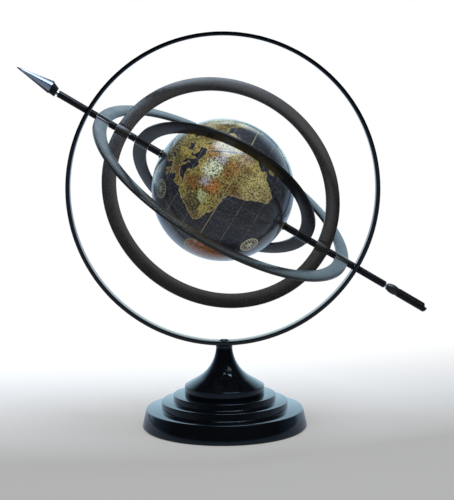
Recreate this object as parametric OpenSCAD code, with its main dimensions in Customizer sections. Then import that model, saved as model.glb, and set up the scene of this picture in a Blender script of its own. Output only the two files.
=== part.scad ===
// Arrow armillary: a globe and three pivoting rings on an arrow spindle, held in an upright hoop
// on a bell column and a stepped round foot. Millimetres, +Z up, origin under the foot's centre.
// The hoop stands in the XZ plane, with the arrowhead up towards -X.

/* [Foot] */
// Thickness of the felt under the foot
felt_t = 1.2; // [0.6:0.1:4]
// Inset of the felt from the foot's rim
felt_inset = 1.5; // [0.5:0.5:10]
// Width of the foot's tread, outside the lower step
foot_tread = 13.8; // [6:0.2:24]
// How far the foot's side leans out towards its bottom
foot_lean = 3.7; // [0:0.1:6]
// Height of the foot's side
foot_h = 16; // [10:0.5:24]
// Width of the lower step's tread, outside the upper step
lower_tread = 10.8; // [5:0.2:18]
// Height of the lower step
lower_step_h = 7; // [4:0.5:12]
// Width of the upper step's tread, outside the bell
upper_tread = 10.4; // [5:0.2:18]
// Height of the upper step
upper_step_h = 6; // [4:0.5:12]
// Chamfer on the rims of the foot, the steps and the bell
rim_chamfer = 0.6; // [0.2:0.1:1.2]

/* [Column] */
// Radius of the bell's rim
bell_r = 36; // [31:0.5:44]
// Height of the bell's upright rim
bell_rim_h = 8; // [4:0.5:12]
// Height of the concave flare above the rim
flare_h = 34; // [28:0.5:44]
// Slope of the flare's skirt where it meets the rim
skirt_angle = 32; // [20:1:38]
// Radius of the column's neck
neck_r = 7.2; // [6:0.1:9]
// Depth of the shallow socket in the foot that centres the bell
spigot_h = 2; // [1:0.5:4]
// Inset of the centring spigot from the bell's rim
spigot_inset = 12; // [6:0.5:20]

/* [Fasteners] */
// Radius of the bolt that pulls the column onto the foot
bolt_r = 4; // [3:0.5:5]
// Depth of the bolt's thread in the column
bolt_grip = 16; // [10:0.5:20]
// Width across the bolt head's flats
bolt_flats = 13; // [11:0.5:16]
// Height of the bolt's head
bolt_head_h = 5.3; // [3:0.1:8]
// Radius of the bolt's washer
washer_r = 10; // [9:0.5:14]
// Thickness of the bolt's washer
washer_t = 1.6; // [1:0.1:3]
// Radius of the hoop screw's shank
screw_r = 2; // [1.5:0.25:2.5]
// Depth of the hoop screw's thread in the column
screw_grip = 10; // [6:0.5:14]
// Radius of the hoop screw's domed head
screw_head_r = 5; // [3.5:0.25:5.5]
// Height of the hoop screw's domed head
screw_head_h = 1.5; // [1.2:0.1:3.5]
// Depth of the screwdriver slot
screw_slot_depth = 0.9; // [0.5:0.1:1.1]
// Width of the screwdriver slot
screw_slot_w = 1.6; // [0.6:0.1:2.4]

/* [Hoop] */
// Height of the saddle between the column and the hoop
saddle_h = 3; // [2:0.1:6]
// Radius of the saddle
saddle_r = 7.5; // [6.5:0.1:9]
// Thickness of the hoop's strip
hoop_t = 3.6; // [2:0.1:5]
// Width of the hoop's strip
hoop_w = 12; // [10:0.5:20]
// Gap between the hoop and the outer ring
hoop_gap = 6.8; // [5:0.1:14]

/* [Rings] */
// Gap between the globe and the inner ring
globe_gap = 13.1; // [8:0.1:24]
// Gap between one ring and the next
ring_gap = 7.3; // [3:0.1:14]
// Width of each ring's flat face
ring_w = 12.8; // [8:0.1:20]
// Thickness of each ring's plate
ring_t = 2.6; // [2:0.1:4]
// Chamfer on the edges of the rings and the hoop
edge_chamfer = 0.3; // [0.1:0.05:0.5]
// Width of the bosses that carry the rings
boss_w = 12.6; // [8:0.1:20]
// Thickness of the bosses that carry the rings
boss_t = 6.6; // [6:0.1:9]
// Angle of the inner ring about the arrow, from the hoop's plane
inner_ring_angle = -56.6; // [-180:0.1:180]
// Angle of the middle ring about the arrow, from the hoop's plane
middle_ring_angle = 29.6; // [-180:0.1:180]
// Angle of the outer ring about the arrow, from the hoop's plane
outer_ring_angle = 73.9; // [-180:0.1:180]

/* [Globe] */
// Diameter of the globe
globe_d = 127; // [100:1:160]
// Wall of the globe's two half shells
globe_wall = 3; // [2:0.1:5]
// Height of the lip that joins the half shells
lip_h = 3; // [2:0.5:6]
// Radius of the pole bushes
bush_r = 4; // [3.2:0.1:6]
// Radius of the flange inside each pole bush
bush_flange_r = 7; // [6.5:0.1:10]
// Thickness of the flange
bush_flange_t = 1.5; // [1:0.1:3]
// How far each pole bush stands out of the globe
bush_stand = 1; // [0.5:0.1:3]

/* [Arrow] */
// Angle of the arrow above the horizontal
arrow_tilt = 30.9; // [0:0.1:45]
// Radius of the spindle
spindle_r = 2; // [1.5:0.1:2.8]
// Radius of the sleeves and spacers on the spindle
sleeve_r = 3.2; // [2.6:0.1:3.7]
// Length of the sleeves outside the hoop
sleeve_len = 28.5; // [15:0.5:50]
// Length of bare spindle left at each neck
neck_len = 2; // [1:0.1:4]
// Length of the arrowhead's six-sided point
point_len = 35; // [20:0.5:60]
// Radius of the point across its corners at the base
point_r = 6.4; // [4.5:0.1:9]
// Radius of the point's blunted tip
tip_r = 0.4; // [0.2:0.1:1]
// Turn of the point's corners about the arrow
point_turn = 50; // [0:1:60]
// How far the point stands above the arrow's axis
point_rise = 1.6; // [0:0.1:2]
// Length of the collar behind the point
collar_len = 6; // [4:0.5:12]
// Radius of the collar where it meets the point
collar_r = 5.4; // [4.4:0.1:6]
// Radius of the collar's rear end
collar_end_r = 4.3; // [3.2:0.1:5]
// Depth of the spindle's thread in the arrowhead and the tail
thread_depth = 12; // [5:0.5:20]
// Length of the tail to its shorter jaw
tail_len = 39.4; // [25:0.1:60]
// Radius of the tail
tail_r = 3.9; // [3.4:0.1:5]
// Length of the bead in front of the tail
bead_len = 11.5; // [5:0.5:16]
// Radius of the bead at its front
bead_front_r = 2.8; // [2.3:0.1:3.2]
// Radius of the waist between the bead and the tail
waist_r = 3.5; // [2.8:0.1:4]
// How far the bead swells
bead_swell = 1.1; // [0.2:0.1:2]
// How far the longer jaw passes the shorter one
jaw_extra = 2.5; // [1:0.5:8]
// Radius of the dome on the ends of the jaws
jaw_dome_r = 4.6; // [4.2:0.1:8]
// Width of the groove along the tail
groove_w = 1.4; // [0.6:0.1:2]
// Depth of the groove along the tail
groove_depth = 0.7; // [0.4:0.1:1.2]
// Turn of the groove and jaws about the arrow
groove_turn = 156; // [0:1:360]
// Angle between the two grooves on each side of the tail
groove_pitch = 32; // [25:1:60]

/* [Fits] */
// Radial clearance of everything that turns on the spindle
running_clear = 0.05; // [0.02:0.01:0.1]
// End gap between a turning piece and its neighbour
end_clear = 0.3; // [0.2:0.05:0.6]
// Clearance of a fastener's shank in a plain hole
shank_clear = 0.2; // [0.1:0.05:0.5]
// Depth of a tapped hole beyond the end of its screw
tap_extra = 2; // [1:0.5:4]

/* [Hidden] */
$fn = 96;

black = [0.05, 0.055, 0.065];
steel = [0.62, 0.63, 0.65];
felt_colour = [0.06, 0.06, 0.06];
brass_colour = [0.55, 0.45, 0.25];
ocean_colour = [0.09, 0.10, 0.12];
// How far a cutting shape passes the face that it cuts, and a joined shape sinks into its neighbour
past = 1;

// Radii of the stand, outwards from the bell
upper_step_r = bell_r + upper_tread;
lower_step_r = upper_step_r + lower_tread;
foot_top_r = lower_step_r + foot_tread;
foot_r = foot_top_r + foot_lean;
spigot_r = bell_r - spigot_inset;

// Heights of the stand, from the table up
foot_top_z = felt_t + foot_h;
lower_step_z = foot_top_z + lower_step_h;
upper_step_z = lower_step_z + upper_step_h;
bell_rim_z = upper_step_z + bell_rim_h;
column_z = bell_rim_z + flare_h;
saddle_z = column_z + saddle_h;

// Radii outwards from the globe to the hoop
globe_r = globe_d / 2;
inner_ring_r = globe_r + globe_gap + ring_w / 2;
middle_ring_r = inner_ring_r + ring_w + ring_gap;
outer_ring_r = middle_ring_r + ring_w + ring_gap;
hoop_inner_r = outer_ring_r + ring_w / 2 + hoop_gap;
hoop_r = hoop_inner_r + hoop_t;
hoop_z = saddle_z + hoop_r;

// Places along the arrow, measured from the globe's centre
bush_end = globe_r + bush_stand;
sleeve_start = hoop_r + end_clear;
sleeve_end = sleeve_start + sleeve_len;
head_start = sleeve_end + neck_len;
point_start = head_start + collar_len;
spindle_end = head_start + thread_depth;
running_r = spindle_r + running_clear;

// The bolt head and its washer sit in a counterbore under the foot
counterbore_r = washer_r + shank_clear;
counterbore_h = bolt_head_h + washer_t;
bolt_seat_z = felt_t + counterbore_h;
bolt_tip_z = upper_step_z + bolt_grip;

// Puts a shape drawn along +Z onto the arrow, with +Z towards the arrowhead
module on_arrow() {
    translate([0, 0, hoop_z]) rotate([0, arrow_tilt - 90, 0]) children();
}

// Turns a shape end for end, so that it faces the tail
module at_tail() {
    rotate([180, 0, 0]) children();
}

module tube(outer_r, inner_r, from, to) {
    translate([0, 0, from]) difference() {
        cylinder(r = outer_r, h = to - from);
        translate([0, 0, -past]) cylinder(r = inner_r, h = to - from + 2 * past);
    }
}

// Section of a flat strip with chamfered edges, drawn from its inner radius
function strip_section(inner, width, thickness, chamfer) = [
    [inner + chamfer, -thickness / 2], [inner + width - chamfer, -thickness / 2],
    [inner + width, -thickness / 2 + chamfer], [inner + width, thickness / 2 - chamfer],
    [inner + width - chamfer, thickness / 2], [inner + chamfer, thickness / 2],
    [inner, thickness / 2 - chamfer], [inner, -thickness / 2 + chamfer]
];

module felt_pad() {
    color(felt_colour) cylinder(r = foot_r - felt_inset, h = felt_t);
}

module foot() {
    color(black) difference() {
        translate([0, 0, felt_t]) rotate_extrude() polygon([
            [0, 0], [foot_r, 0],
            [foot_top_r, foot_h - rim_chamfer],
            [foot_top_r - rim_chamfer, foot_h],
            [lower_step_r, foot_h],
            [lower_step_r, foot_h + lower_step_h - rim_chamfer],
            [lower_step_r - rim_chamfer, foot_h + lower_step_h],
            [upper_step_r, foot_h + lower_step_h],
            [upper_step_r, foot_h + lower_step_h + upper_step_h - rim_chamfer],
            [upper_step_r - rim_chamfer, foot_h + lower_step_h + upper_step_h],
            [0, foot_h + lower_step_h + upper_step_h]
        ]);
        translate([0, 0, felt_t - past]) cylinder(r = counterbore_r, h = counterbore_h + past);
        cylinder(r = bolt_r + shank_clear, h = upper_step_z + past);
        translate([0, 0, upper_step_z - spigot_h]) cylinder(r = spigot_r, h = spigot_h + past);
    }
}

module base_washer() {
    color(steel) tube(washer_r, bolt_r + shank_clear, bolt_seat_z - washer_t, bolt_seat_z);
}

module base_bolt() {
    color(steel) {
        translate([0, 0, felt_t])
            cylinder(r = bolt_flats / 2 / cos(30), h = bolt_head_h, $fn = 6);
        translate([0, 0, felt_t]) cylinder(r = bolt_r, h = bolt_tip_z - felt_t);
    }
}

// The flare's hollow arc runs upright into the saddle at the neck, and meets the straight skirt
// that comes up from the rim, without a corner at either end
module column() {
    skirt_foot = [bell_r - rim_chamfer, bell_rim_z];
    arc_r = ((saddle_z - skirt_foot.y) * cos(skirt_angle) - (skirt_foot.x - neck_r) * sin(skirt_angle))
        / (1 - sin(skirt_angle));
    arc_centre = [neck_r + arc_r, saddle_z];
    skirt_top = arc_centre - arc_r * [sin(skirt_angle), cos(skirt_angle)];
    color(black) difference() {
        union() {
            rotate_extrude() polygon([
                [0, upper_step_z], [bell_r, upper_step_z], [bell_r, bell_rim_z - rim_chamfer],
                skirt_foot, skirt_top, [neck_r, skirt_top.y + past], [0, skirt_top.y + past]
            ]);
            rotate_extrude() difference() {
                translate([0, skirt_top.y]) square([arc_centre.x, column_z - skirt_top.y]);
                translate(arc_centre) circle(r = arc_r, $fn = 360);
            }
            translate([0, 0, upper_step_z - spigot_h])
                cylinder(r = spigot_r - running_clear, h = spigot_h + past);
        }
        translate([0, 0, upper_step_z - spigot_h - past])
            cylinder(r = bolt_r, h = bolt_grip + tap_extra + spigot_h + past);
        translate([0, 0, column_z - screw_grip - tap_extra])
            cylinder(r = screw_r, h = screw_grip + tap_extra + past);
    }
}

// The saddle's top is hollowed to the curve of the hoop
module saddle() {
    color(black) difference() {
        tube(saddle_r, screw_r + shank_clear, column_z, saddle_z + saddle_h / 2);
        translate([0, 0, hoop_z]) rotate([90, 0, 0])
            cylinder(r = hoop_r, h = 2 * saddle_r + 2 * past, center = true, $fn = 360);
    }
}

module hoop() {
    color(black) difference() {
        translate([0, 0, hoop_z]) rotate([90, 0, 0]) rotate_extrude($fn = 360)
            polygon(strip_section(hoop_inner_r, hoop_t, hoop_w, edge_chamfer));
        on_arrow() cylinder(r = running_r, h = 2 * hoop_r + 2 * past, center = true);
        translate([0, 0, column_z])
            cylinder(r = screw_r + shank_clear, h = saddle_h + hoop_t + past);
    }
}

// The low dome is the cap of a ball, with a slot from front to back
module hoop_screw() {
    seat_z = saddle_z + hoop_t + (hoop_inner_r - sqrt(pow(hoop_inner_r, 2) - pow(screw_head_r, 2)));
    dome_r = (pow(screw_head_r, 2) + pow(screw_head_h, 2)) / (2 * screw_head_h);
    color(steel) difference() {
        union() {
            intersection() {
                translate([0, 0, seat_z + screw_head_h - dome_r]) sphere(r = dome_r);
                translate([0, 0, seat_z]) cylinder(r = screw_head_r, h = screw_head_h + past);
            }
            translate([0, 0, column_z - screw_grip])
                cylinder(r = screw_r, h = seat_z - column_z + screw_grip + past);
        }
        translate([0, 0, seat_z + screw_head_h])
            cube([screw_slot_w, 2 * screw_head_r + past, 2 * screw_slot_depth], center = true);
    }
}

module spindle() {
    color(black) on_arrow() cylinder(r = spindle_r, h = 2 * spindle_end, center = true);
}

// The collar leads from the spindle to the six-sided point, which stands a little above the axis
module arrowhead() {
    color(black) on_arrow() difference() {
        union() {
            translate([point_rise, 0, point_start]) rotate([0, 0, point_turn])
                cylinder(r1 = point_r, r2 = tip_r, h = point_len, $fn = 6);
            hull() {
                translate([0, 0, head_start]) cylinder(r = collar_end_r, h = past / 4, $fn = 48);
                translate([point_rise, 0, point_start]) cylinder(r = collar_r, h = past / 4, $fn = 48);
            }
        }
        translate([0, 0, head_start - past]) cylinder(r = spindle_r, h = thread_depth + past);
    }
}

// Round bar of the tail, from the end of its bead to a domed end
module tail_bar(end) {
    bar_start = head_start + bead_len;
    intersection() {
        translate([0, 0, bar_start]) cylinder(r = tail_r, h = end - bar_start);
        translate([0, 0, end - jaw_dome_r]) {
            sphere(r = jaw_dome_r);
            translate([0, 0, bar_start - end]) cylinder(r = jaw_dome_r, h = end - bar_start);
        }
    }
}

// Half section of the bead in front of the tail, which swells between its front and the waist
function bead_section() = concat(
    [[0, 0]],
    [for (i = [0 : 16]) [
        bead_front_r + (waist_r - bead_front_r) * i / 16 + bead_swell * sin(180 * i / 16), bead_len * i / 16
    ]],
    [[0, bead_len]]
);

// A grooved round tail whose end is cut to a long and a short jaw
module tail() {
    short_end = head_start + tail_len;
    long_end = short_end + jaw_extra;
    color(black) on_arrow() at_tail() difference() {
        union() {
            translate([0, 0, head_start]) {
                rotate_extrude() polygon(bead_section());
                cylinder(r = bead_front_r, h = bead_len + past);
            }
            tail_bar(short_end);
            intersection() {
                tail_bar(long_end);
                rotate([0, 0, groove_turn]) translate([0, -tail_r, head_start])
                    cube([tail_r, 2 * tail_r, long_end - head_start]);
            }
        }
        translate([0, 0, head_start - past]) cylinder(r = spindle_r, h = thread_depth + past);
        for (side = [0, 180], lead = [0, groove_pitch]) rotate([0, 0, groove_turn + 90 + side - lead])
            translate([tail_r - groove_depth, -groove_w / 2, head_start + bead_len])
                cube([tail_r, groove_w, tail_len + jaw_extra]);
    }
}

module sleeve() {
    color(black) tube(sleeve_r, spindle_r, sleeve_start, sleeve_end);
}

// A spacer fills the spindle between two turning pieces, less a gap at each end
module spacer(from, to) {
    color(black) tube(sleeve_r, spindle_r, from + end_clear, to - end_clear);
}

module hoop_spacer() {
    spacer(outer_ring_r + ring_w / 2, hoop_inner_r);
}

module outer_spacer() {
    spacer(middle_ring_r + ring_w / 2, outer_ring_r - ring_w / 2);
}

module inner_spacer() {
    spacer(inner_ring_r + ring_w / 2, middle_ring_r - ring_w / 2);
}

module globe_spacer() {
    spacer(bush_end, inner_ring_r - ring_w / 2);
}

// A flat ring that swells to two bosses, drilled across for the spindle and turned about it by an angle
module ring(mid_r, angle) {
    color(black) on_arrow() rotate([0, 0, angle]) difference() {
        union() {
            rotate([90, 0, 0]) rotate_extrude($fn = 240)
                polygon(strip_section(mid_r - ring_w / 2, ring_w, ring_t, edge_chamfer));
            for (side = [-1, 1]) translate([0, 0, side * mid_r])
                linear_extrude(ring_w, center = true) scale([boss_w / 2, boss_t / 2]) circle(r = 1);
        }
        cylinder(r = running_r, h = 2 * (mid_r + ring_w), center = true);
    }
}

// Half of the globe's hollow ball, bored at the pole for its bush
module half_shell() {
    difference() {
        intersection() {
            sphere(r = globe_r, $fn = 180);
            cylinder(r = globe_r + past, h = globe_r + past);
        }
        sphere(r = globe_r - globe_wall, $fn = 180);
        cylinder(r = bush_r, h = globe_r + past);
    }
}

module globe_north_shell() {
    color(ocean_colour) on_arrow() difference() {
        half_shell();
        translate([0, 0, -past]) cylinder(r = globe_r - globe_wall / 2, h = lip_h + past);
    }
}

// The lip stands up from the south shell into the north shell's rebate
module globe_south_shell() {
    color(ocean_colour) on_arrow() {
        at_tail() half_shell();
        tube(globe_r - globe_wall / 2 - running_clear, globe_r - globe_wall, -past, lip_h - running_clear);
    }
}

module bush() {
    seat = sqrt(pow(globe_r - globe_wall, 2) - pow(bush_flange_r, 2));
    color(brass_colour) difference() {
        union() {
            cylinder_between(bush_r, seat - bush_flange_t, bush_end);
            cylinder_between(bush_flange_r, seat - bush_flange_t, seat);
        }
        cylinder(r = running_r, h = bush_end + past);
    }
}

module cylinder_between(r, from, to) {
    translate([0, 0, from]) cylinder(r = r, h = to - from);
}

felt_pad();
foot();
base_bolt();
base_washer();
column();
saddle();
hoop();
hoop_screw();
spindle();
arrowhead();
on_arrow() sleeve();  // head_sleeve
on_arrow() at_tail() sleeve();  // tail_sleeve
tail();
on_arrow() hoop_spacer();  // hoop_spacer_head
on_arrow() at_tail() hoop_spacer();  // hoop_spacer_tail
on_arrow() outer_spacer();  // outer_spacer_head
on_arrow() at_tail() outer_spacer();  // outer_spacer_tail
on_arrow() inner_spacer();  // inner_spacer_head
on_arrow() at_tail() inner_spacer();  // inner_spacer_tail
on_arrow() globe_spacer();  // globe_spacer_head
on_arrow() at_tail() globe_spacer();  // globe_spacer_tail
ring(outer_ring_r, outer_ring_angle);  // outer_ring
ring(middle_ring_r, middle_ring_angle);  // middle_ring
ring(inner_ring_r, inner_ring_angle);  // inner_ring
globe_north_shell();
globe_south_shell();
on_arrow() bush();  // north_bush
on_arrow() at_tail() bush();  // south_bush
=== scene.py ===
# %% [markdown]
# # An arrow armillary
# This desk ornament is a small globe and three flat rings on an arrow, held in an upright hoop on a
# stepped foot. All of it is black lacquered metal, apart from the globe, which is covered with
# printed and varnished paper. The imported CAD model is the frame: it fixes every size and every
# turning axis, and the pieces below are modelled onto it with finer edges and real finishes.

# %% Load the frame
import math

import bpy
import numpy as np
from mathutils import Matrix, Vector


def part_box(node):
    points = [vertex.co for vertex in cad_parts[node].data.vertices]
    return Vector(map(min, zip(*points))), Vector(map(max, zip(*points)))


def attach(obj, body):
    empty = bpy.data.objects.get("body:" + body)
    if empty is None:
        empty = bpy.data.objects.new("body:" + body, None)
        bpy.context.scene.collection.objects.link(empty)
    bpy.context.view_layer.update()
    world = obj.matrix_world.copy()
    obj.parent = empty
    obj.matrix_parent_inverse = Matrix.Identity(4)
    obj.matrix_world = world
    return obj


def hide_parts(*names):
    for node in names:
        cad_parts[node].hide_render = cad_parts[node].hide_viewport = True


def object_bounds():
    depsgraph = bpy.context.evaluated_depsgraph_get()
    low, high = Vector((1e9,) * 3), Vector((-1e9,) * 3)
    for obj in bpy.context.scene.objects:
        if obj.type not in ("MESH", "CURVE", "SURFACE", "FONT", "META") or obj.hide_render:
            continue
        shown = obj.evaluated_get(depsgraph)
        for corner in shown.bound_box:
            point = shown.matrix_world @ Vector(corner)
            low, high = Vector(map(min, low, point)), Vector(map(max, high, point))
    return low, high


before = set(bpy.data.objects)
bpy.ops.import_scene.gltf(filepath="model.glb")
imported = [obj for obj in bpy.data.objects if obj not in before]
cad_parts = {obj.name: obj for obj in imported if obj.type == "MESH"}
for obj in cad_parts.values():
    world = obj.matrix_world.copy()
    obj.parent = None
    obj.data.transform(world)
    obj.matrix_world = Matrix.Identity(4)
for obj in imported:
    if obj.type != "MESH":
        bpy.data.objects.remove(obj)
cad_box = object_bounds()
MM = 0.001
scene = bpy.context.scene
scene.view_settings.view_transform = "Standard"
cad_size = [round(x / MM, 1) for x in cad_box[1] - cad_box[0]]
print("CAD nodes:", len(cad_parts), "box in mm:", cad_size)

# %% [markdown]
# ## The camera
# The photograph looks at the ornament from the front and a little above, through a long lens. The
# camera could be aimed by eye, but its place was worked out from the hoop, the foot and the rod,
# so that they fall where the photograph has them. The sensor's 36 mm lie along the long side.

# %% Camera
camera = bpy.data.objects.new("camera", bpy.data.cameras.new("camera"))
scene.collection.objects.link(camera)
scene.camera = camera
camera.data.sensor_width = 36
camera.data.lens = 109.87
CAMERA_PLACE = (0.0004, -1.357, 0.3321)
CAMERA_AZIMUTH, CAMERA_DOWN, CAMERA_ROLL = -0.12, 7.18, -0.46
camera.matrix_world = (
    Matrix.Translation(CAMERA_PLACE)
    @ Matrix.Rotation(math.radians(CAMERA_AZIMUTH), 4, "Z")
    @ Matrix.Rotation(math.radians(90 - CAMERA_DOWN), 4, "X")
    @ Matrix.Rotation(math.radians(CAMERA_ROLL), 4, "Z")
)
print("camera at", CAMERA_PLACE, "lens", camera.data.lens)

# %% [markdown]
# ## Colours and nodes
# Colours are picked as sRGB hex values, as in a paint program, but shaders work in linear light, so
# one function converts them. A second small function adds a shader node: what is given for a socket
# is linked when it is another node's output, and set as a plain value otherwise.


# %% Colour and node helpers
def colour(code):
    """An sRGB hex colour such as 'c8b46e' as linear red, green, blue and alpha."""
    parts = [int(code[i : i + 2], 16) / 255 for i in (0, 2, 4)]
    return (*[c / 12.92 if c <= 0.04045 else ((c + 0.055) / 1.055) ** 2.4 for c in parts], 1)


def add(tree, kind, sockets, **settings):
    """A new shader node with its settings, and its sockets set or linked."""
    made = tree.nodes.new("ShaderNode" + kind)
    for name, value in settings.items():
        setattr(made, name, value)
    for name, value in sockets.items():
        if isinstance(value, bpy.types.NodeSocket):
            tree.links.new(value, made.inputs[name])
        else:
            made.inputs[name].default_value = value
    return made


def new_material(name):
    """A material with only an output node, and its node tree."""
    made = bpy.data.materials.new(name)
    made.use_nodes = True
    made.node_tree.nodes.clear()
    return made, made.node_tree


# A Mix node set to colours has its factor, colours and result at these places
FACTOR, MIX_A, MIX_B, MIXED = 0, 6, 7, 2
print("helpers ready, mid grey is", [round(c, 3) for c in colour("808080")[:3]])

# %% [markdown]
# ## The studio
# Gloss black shows little but reflections, so the room matters more than the lamps. To judge by the
# reflections in the photograph, the back of the room is pale and a little blue, its sides are a
# dull blue-grey, and the ceiling and the side with the camera are dark. The world gives that room
# to glossy rays, an even soft light to the object, and plain white to the camera.

# %% World
world = bpy.data.worlds.new("studio")
scene.world = world
world.use_nodes = True
room = world.node_tree
room.nodes.clear()
rays = add(room, "LightPath", {}).outputs
looking = add(room, "TexCoord", {}).outputs["Generated"]
direction = add(room, "SeparateXYZ", {"Vector": looking}).outputs
# The side with the camera is dark. Each further part of the room has the axis along which it
# begins, how far a direction points that way where it begins and is complete, and its colour.
ROOM_PARTS = {
    "side walls": ("Y", -0.2, 0.4, "52606c"),
    "back wall": ("Y", 0.48, 0.84, "c8ecff"),
    "ceiling": ("Z", 0.54, 0.7, "1a1917"),
}
room_colour = colour("141210")
for axis, begins, complete, tone in ROOM_PARTS.values():
    share = add(
        room, "MapRange", {"Value": direction[axis], "From Min": begins, "From Max": complete}
    )
    room_colour = add(
        room,
        "Mix",
        {FACTOR: share.outputs["Result"], MIX_A: room_colour, MIX_B: colour(tone)},
        data_type="RGBA",
    ).outputs[MIXED]
# A window high in the back wall, which the outer ring mirrors
WINDOW, WINDOW_LIGHT = (0.23, 0.80, 0.55), (1.6, 2.0, 2.4, 1)
RIM, PANE = 0.992, 0.9985
towards = add(room, "VectorMath", {0: looking, 1: WINDOW}, operation="DOT_PRODUCT")
pane = add(room, "MapRange", {"Value": towards.outputs["Value"], "From Min": RIM, "From Max": PANE})
room_colour = add(
    room,
    "Mix",
    {FACTOR: pane.outputs["Result"], MIX_A: room_colour, MIX_B: WINDOW_LIGHT},
    data_type="RGBA",
).outputs[MIXED]
ROOM_LEVEL, SOFT_LEVEL = 1.6, 0.55
mirrored = add(room, "Background", {"Color": room_colour, "Strength": ROOM_LEVEL})
soft = add(room, "Background", {"Color": colour("f4f8ff"), "Strength": SOFT_LEVEL})
white = add(room, "Background", {"Color": (1, 1, 1, 1), "Strength": 1})
shiny = add(
    room, "Math", {0: rays["Is Glossy Ray"], 1: rays["Is Transmission Ray"]}, operation="MAXIMUM"
)
lit = add(room, "MixShader", {0: shiny.outputs[0], 1: soft.outputs[0], 2: mirrored.outputs[0]})
seen = add(room, "MixShader", {0: rays["Is Camera Ray"], 1: lit.outputs[0], 2: white.outputs[0]})
add(room, "OutputWorld", {"Surface": seen.outputs[0]})
print("room with", ", ".join(ROOM_PARTS), "and a window")

# %% [markdown]
# A softbox hangs overhead, where the globe's varnish mirrors it. A dim, warm card above the camera
# gives the middle ring its sheen. A third, broad lamp at the front left only lifts the matt
# colours, so it is kept out of reflections.


# %% Lamps
GLOBE_CENTRE = Vector((0, 0, 215.2)) * MM


def softbox(name, place, size, watts, tint, mirrored_too):
    """A square lamp that looks at the globe, hidden from the camera."""
    lamp = bpy.data.lights.new(name, "AREA")
    lamp.size = size
    lamp.energy = watts
    lamp.color = colour(tint)[:3]
    holder = bpy.data.objects.new(name, lamp)
    scene.collection.objects.link(holder)
    holder.location = place
    holder.rotation_euler = (GLOBE_CENTRE - Vector(place)).to_track_quat("-Z", "Y").to_euler()
    holder.visible_camera = False
    holder.visible_glossy = mirrored_too


softbox("overhead", (0.19, -0.22, 1.35), 0.68, 14, "e0f0ff", True)
softbox("warm_card", (0.95, -0.7, 1.6), 0.75, 3, "fff6ee", True)
softbox("front_left", (-0.5, -1.56, 1.1), 1.2, 13, "f6faff", False)
print("three softboxes")

# %% [markdown]
# ## The floor
# The ornament stands on a pale sweep of paper, which is one big plane. Its tone is painted grey
# near the camera and fades to white at the back: painted shade, where less light reaches it.
# Camera and mirror rays find part of that tone as a plain glow, and all of it far off, so that it
# runs into the white backdrop. The rest is an ordinary matt surface, which holds the shadow.

# %% Floor
bpy.ops.object.select_all(action="DESELECT")
bpy.ops.mesh.primitive_plane_add(size=24)
floor = bpy.context.object
floor.name = "paper_sweep"
paper, tree = new_material("matt_backdrop_paper")
place = add(tree, "TexCoord", {}).outputs["Object"]
place = add(tree, "SeparateXYZ", {"Vector": place}).outputs
# The tone, painted shade, goes from grey to white over a range of depths, which lies further
# back on the right, where less light falls
GREY_UNTIL, WHITE_FROM, RIGHT_REACH, RIGHT_LAG = -0.13, 0.27, 0.25, 0.11
lag = add(tree, "MapRange", {"Value": place["X"], "From Max": RIGHT_REACH, "To Max": -RIGHT_LAG})
depth = add(tree, "Math", {0: lag.outputs["Result"], 1: place["Y"]}, operation="ADD")
depth = add(
    tree, "MapRange", {"Value": depth.outputs[0], "From Min": GREY_UNTIL, "From Max": WHITE_FROM}
)
tone = add(
    tree,
    "Mix",
    {FACTOR: depth.outputs["Result"], MIX_A: colour("aba8a4"), MIX_B: colour("ffffff")},
    data_type="RGBA",
).outputs[MIXED]
matt = add(tree, "BsdfDiffuse", {"Color": tone})
rays = add(tree, "LightPath", {}).outputs
shiny = add(
    tree, "Math", {0: rays["Is Glossy Ray"], 1: rays["Is Transmission Ray"]}, operation="MAXIMUM"
).outputs[0]
looked_at = add(tree, "Math", {0: rays["Is Camera Ray"], 1: shiny}, operation="MAXIMUM")
print("paper from grey to white over", WHITE_FROM - GREY_UNTIL, "m")

# %% Floor in the mirrors
# Mirrored, the paper looks a little blue, as all reflections do here
cool = add(
    tree,
    "Mix",
    {FACTOR: shiny, MIX_A: tone, MIX_B: colour("b6d2f2")},
    data_type="RGBA",
    blend_type="MULTIPLY",
)
# Mirror rays see the paper's front end, out of the picture, as a plain glow of its tone: a
# painted light, which the arrow's point mirrors
FRONT_FROM, FRONT_FULL = -0.7, -1.1
front = add(
    tree, "MapRange", {"Value": place["Y"], "From Min": FRONT_FROM, "From Max": FRONT_FULL}
)
front = add(tree, "Math", {0: front.outputs["Result"], 1: shiny}, operation="MULTIPLY").outputs[0]
# Mirror rays see the paper darker at the sides of the room, and on the left further back as
# well: painted shade
LEFT_WEIGHT, DUSK_FROM, DUSK_FULL, DUSK = -2, 0.25, 0.6, 0.8
sideways = add(tree, "Math", {0: place["X"], 1: LEFT_WEIGHT}, operation="MULTIPLY")
sideways = add(tree, "Math", {0: sideways.outputs[0], 1: place["X"]}, operation="MAXIMUM")
sideways = add(tree, "Math", {0: sideways.outputs[0], 1: place["Y"]}, operation="SUBTRACT")
dusk = add(
    tree,
    "MapRange",
    {"Value": sideways.outputs[0], "From Min": DUSK_FROM, "From Max": DUSK_FULL, "To Max": DUSK},
)
dusk = add(tree, "Math", {0: dusk.outputs["Result"], 1: shiny}, operation="MULTIPLY")
dusk = add(tree, "Math", {0: dusk.outputs[0], 1: front}, operation="SUBTRACT", use_clamp=True)
cool = add(
    tree,
    "Mix",
    {FACTOR: dusk.outputs[0], MIX_A: cool.outputs[MIXED], MIX_B: colour("20242a")},
    data_type="RGBA",
)
glow = add(tree, "Emission", {"Color": cool.outputs[MIXED], "Strength": 1})
GLOW_NEAR, NEAR, FAR = 0.5, 0.15, 0.4
share = add(
    tree,
    "MapRange",
    {"Value": place["Y"], "From Min": NEAR, "From Max": FAR, "To Min": GLOW_NEAR, "To Max": 1},
)
share = add(
    tree, "Math", {0: looked_at.outputs[0], 1: share.outputs["Result"]}, operation="MULTIPLY"
)
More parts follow.
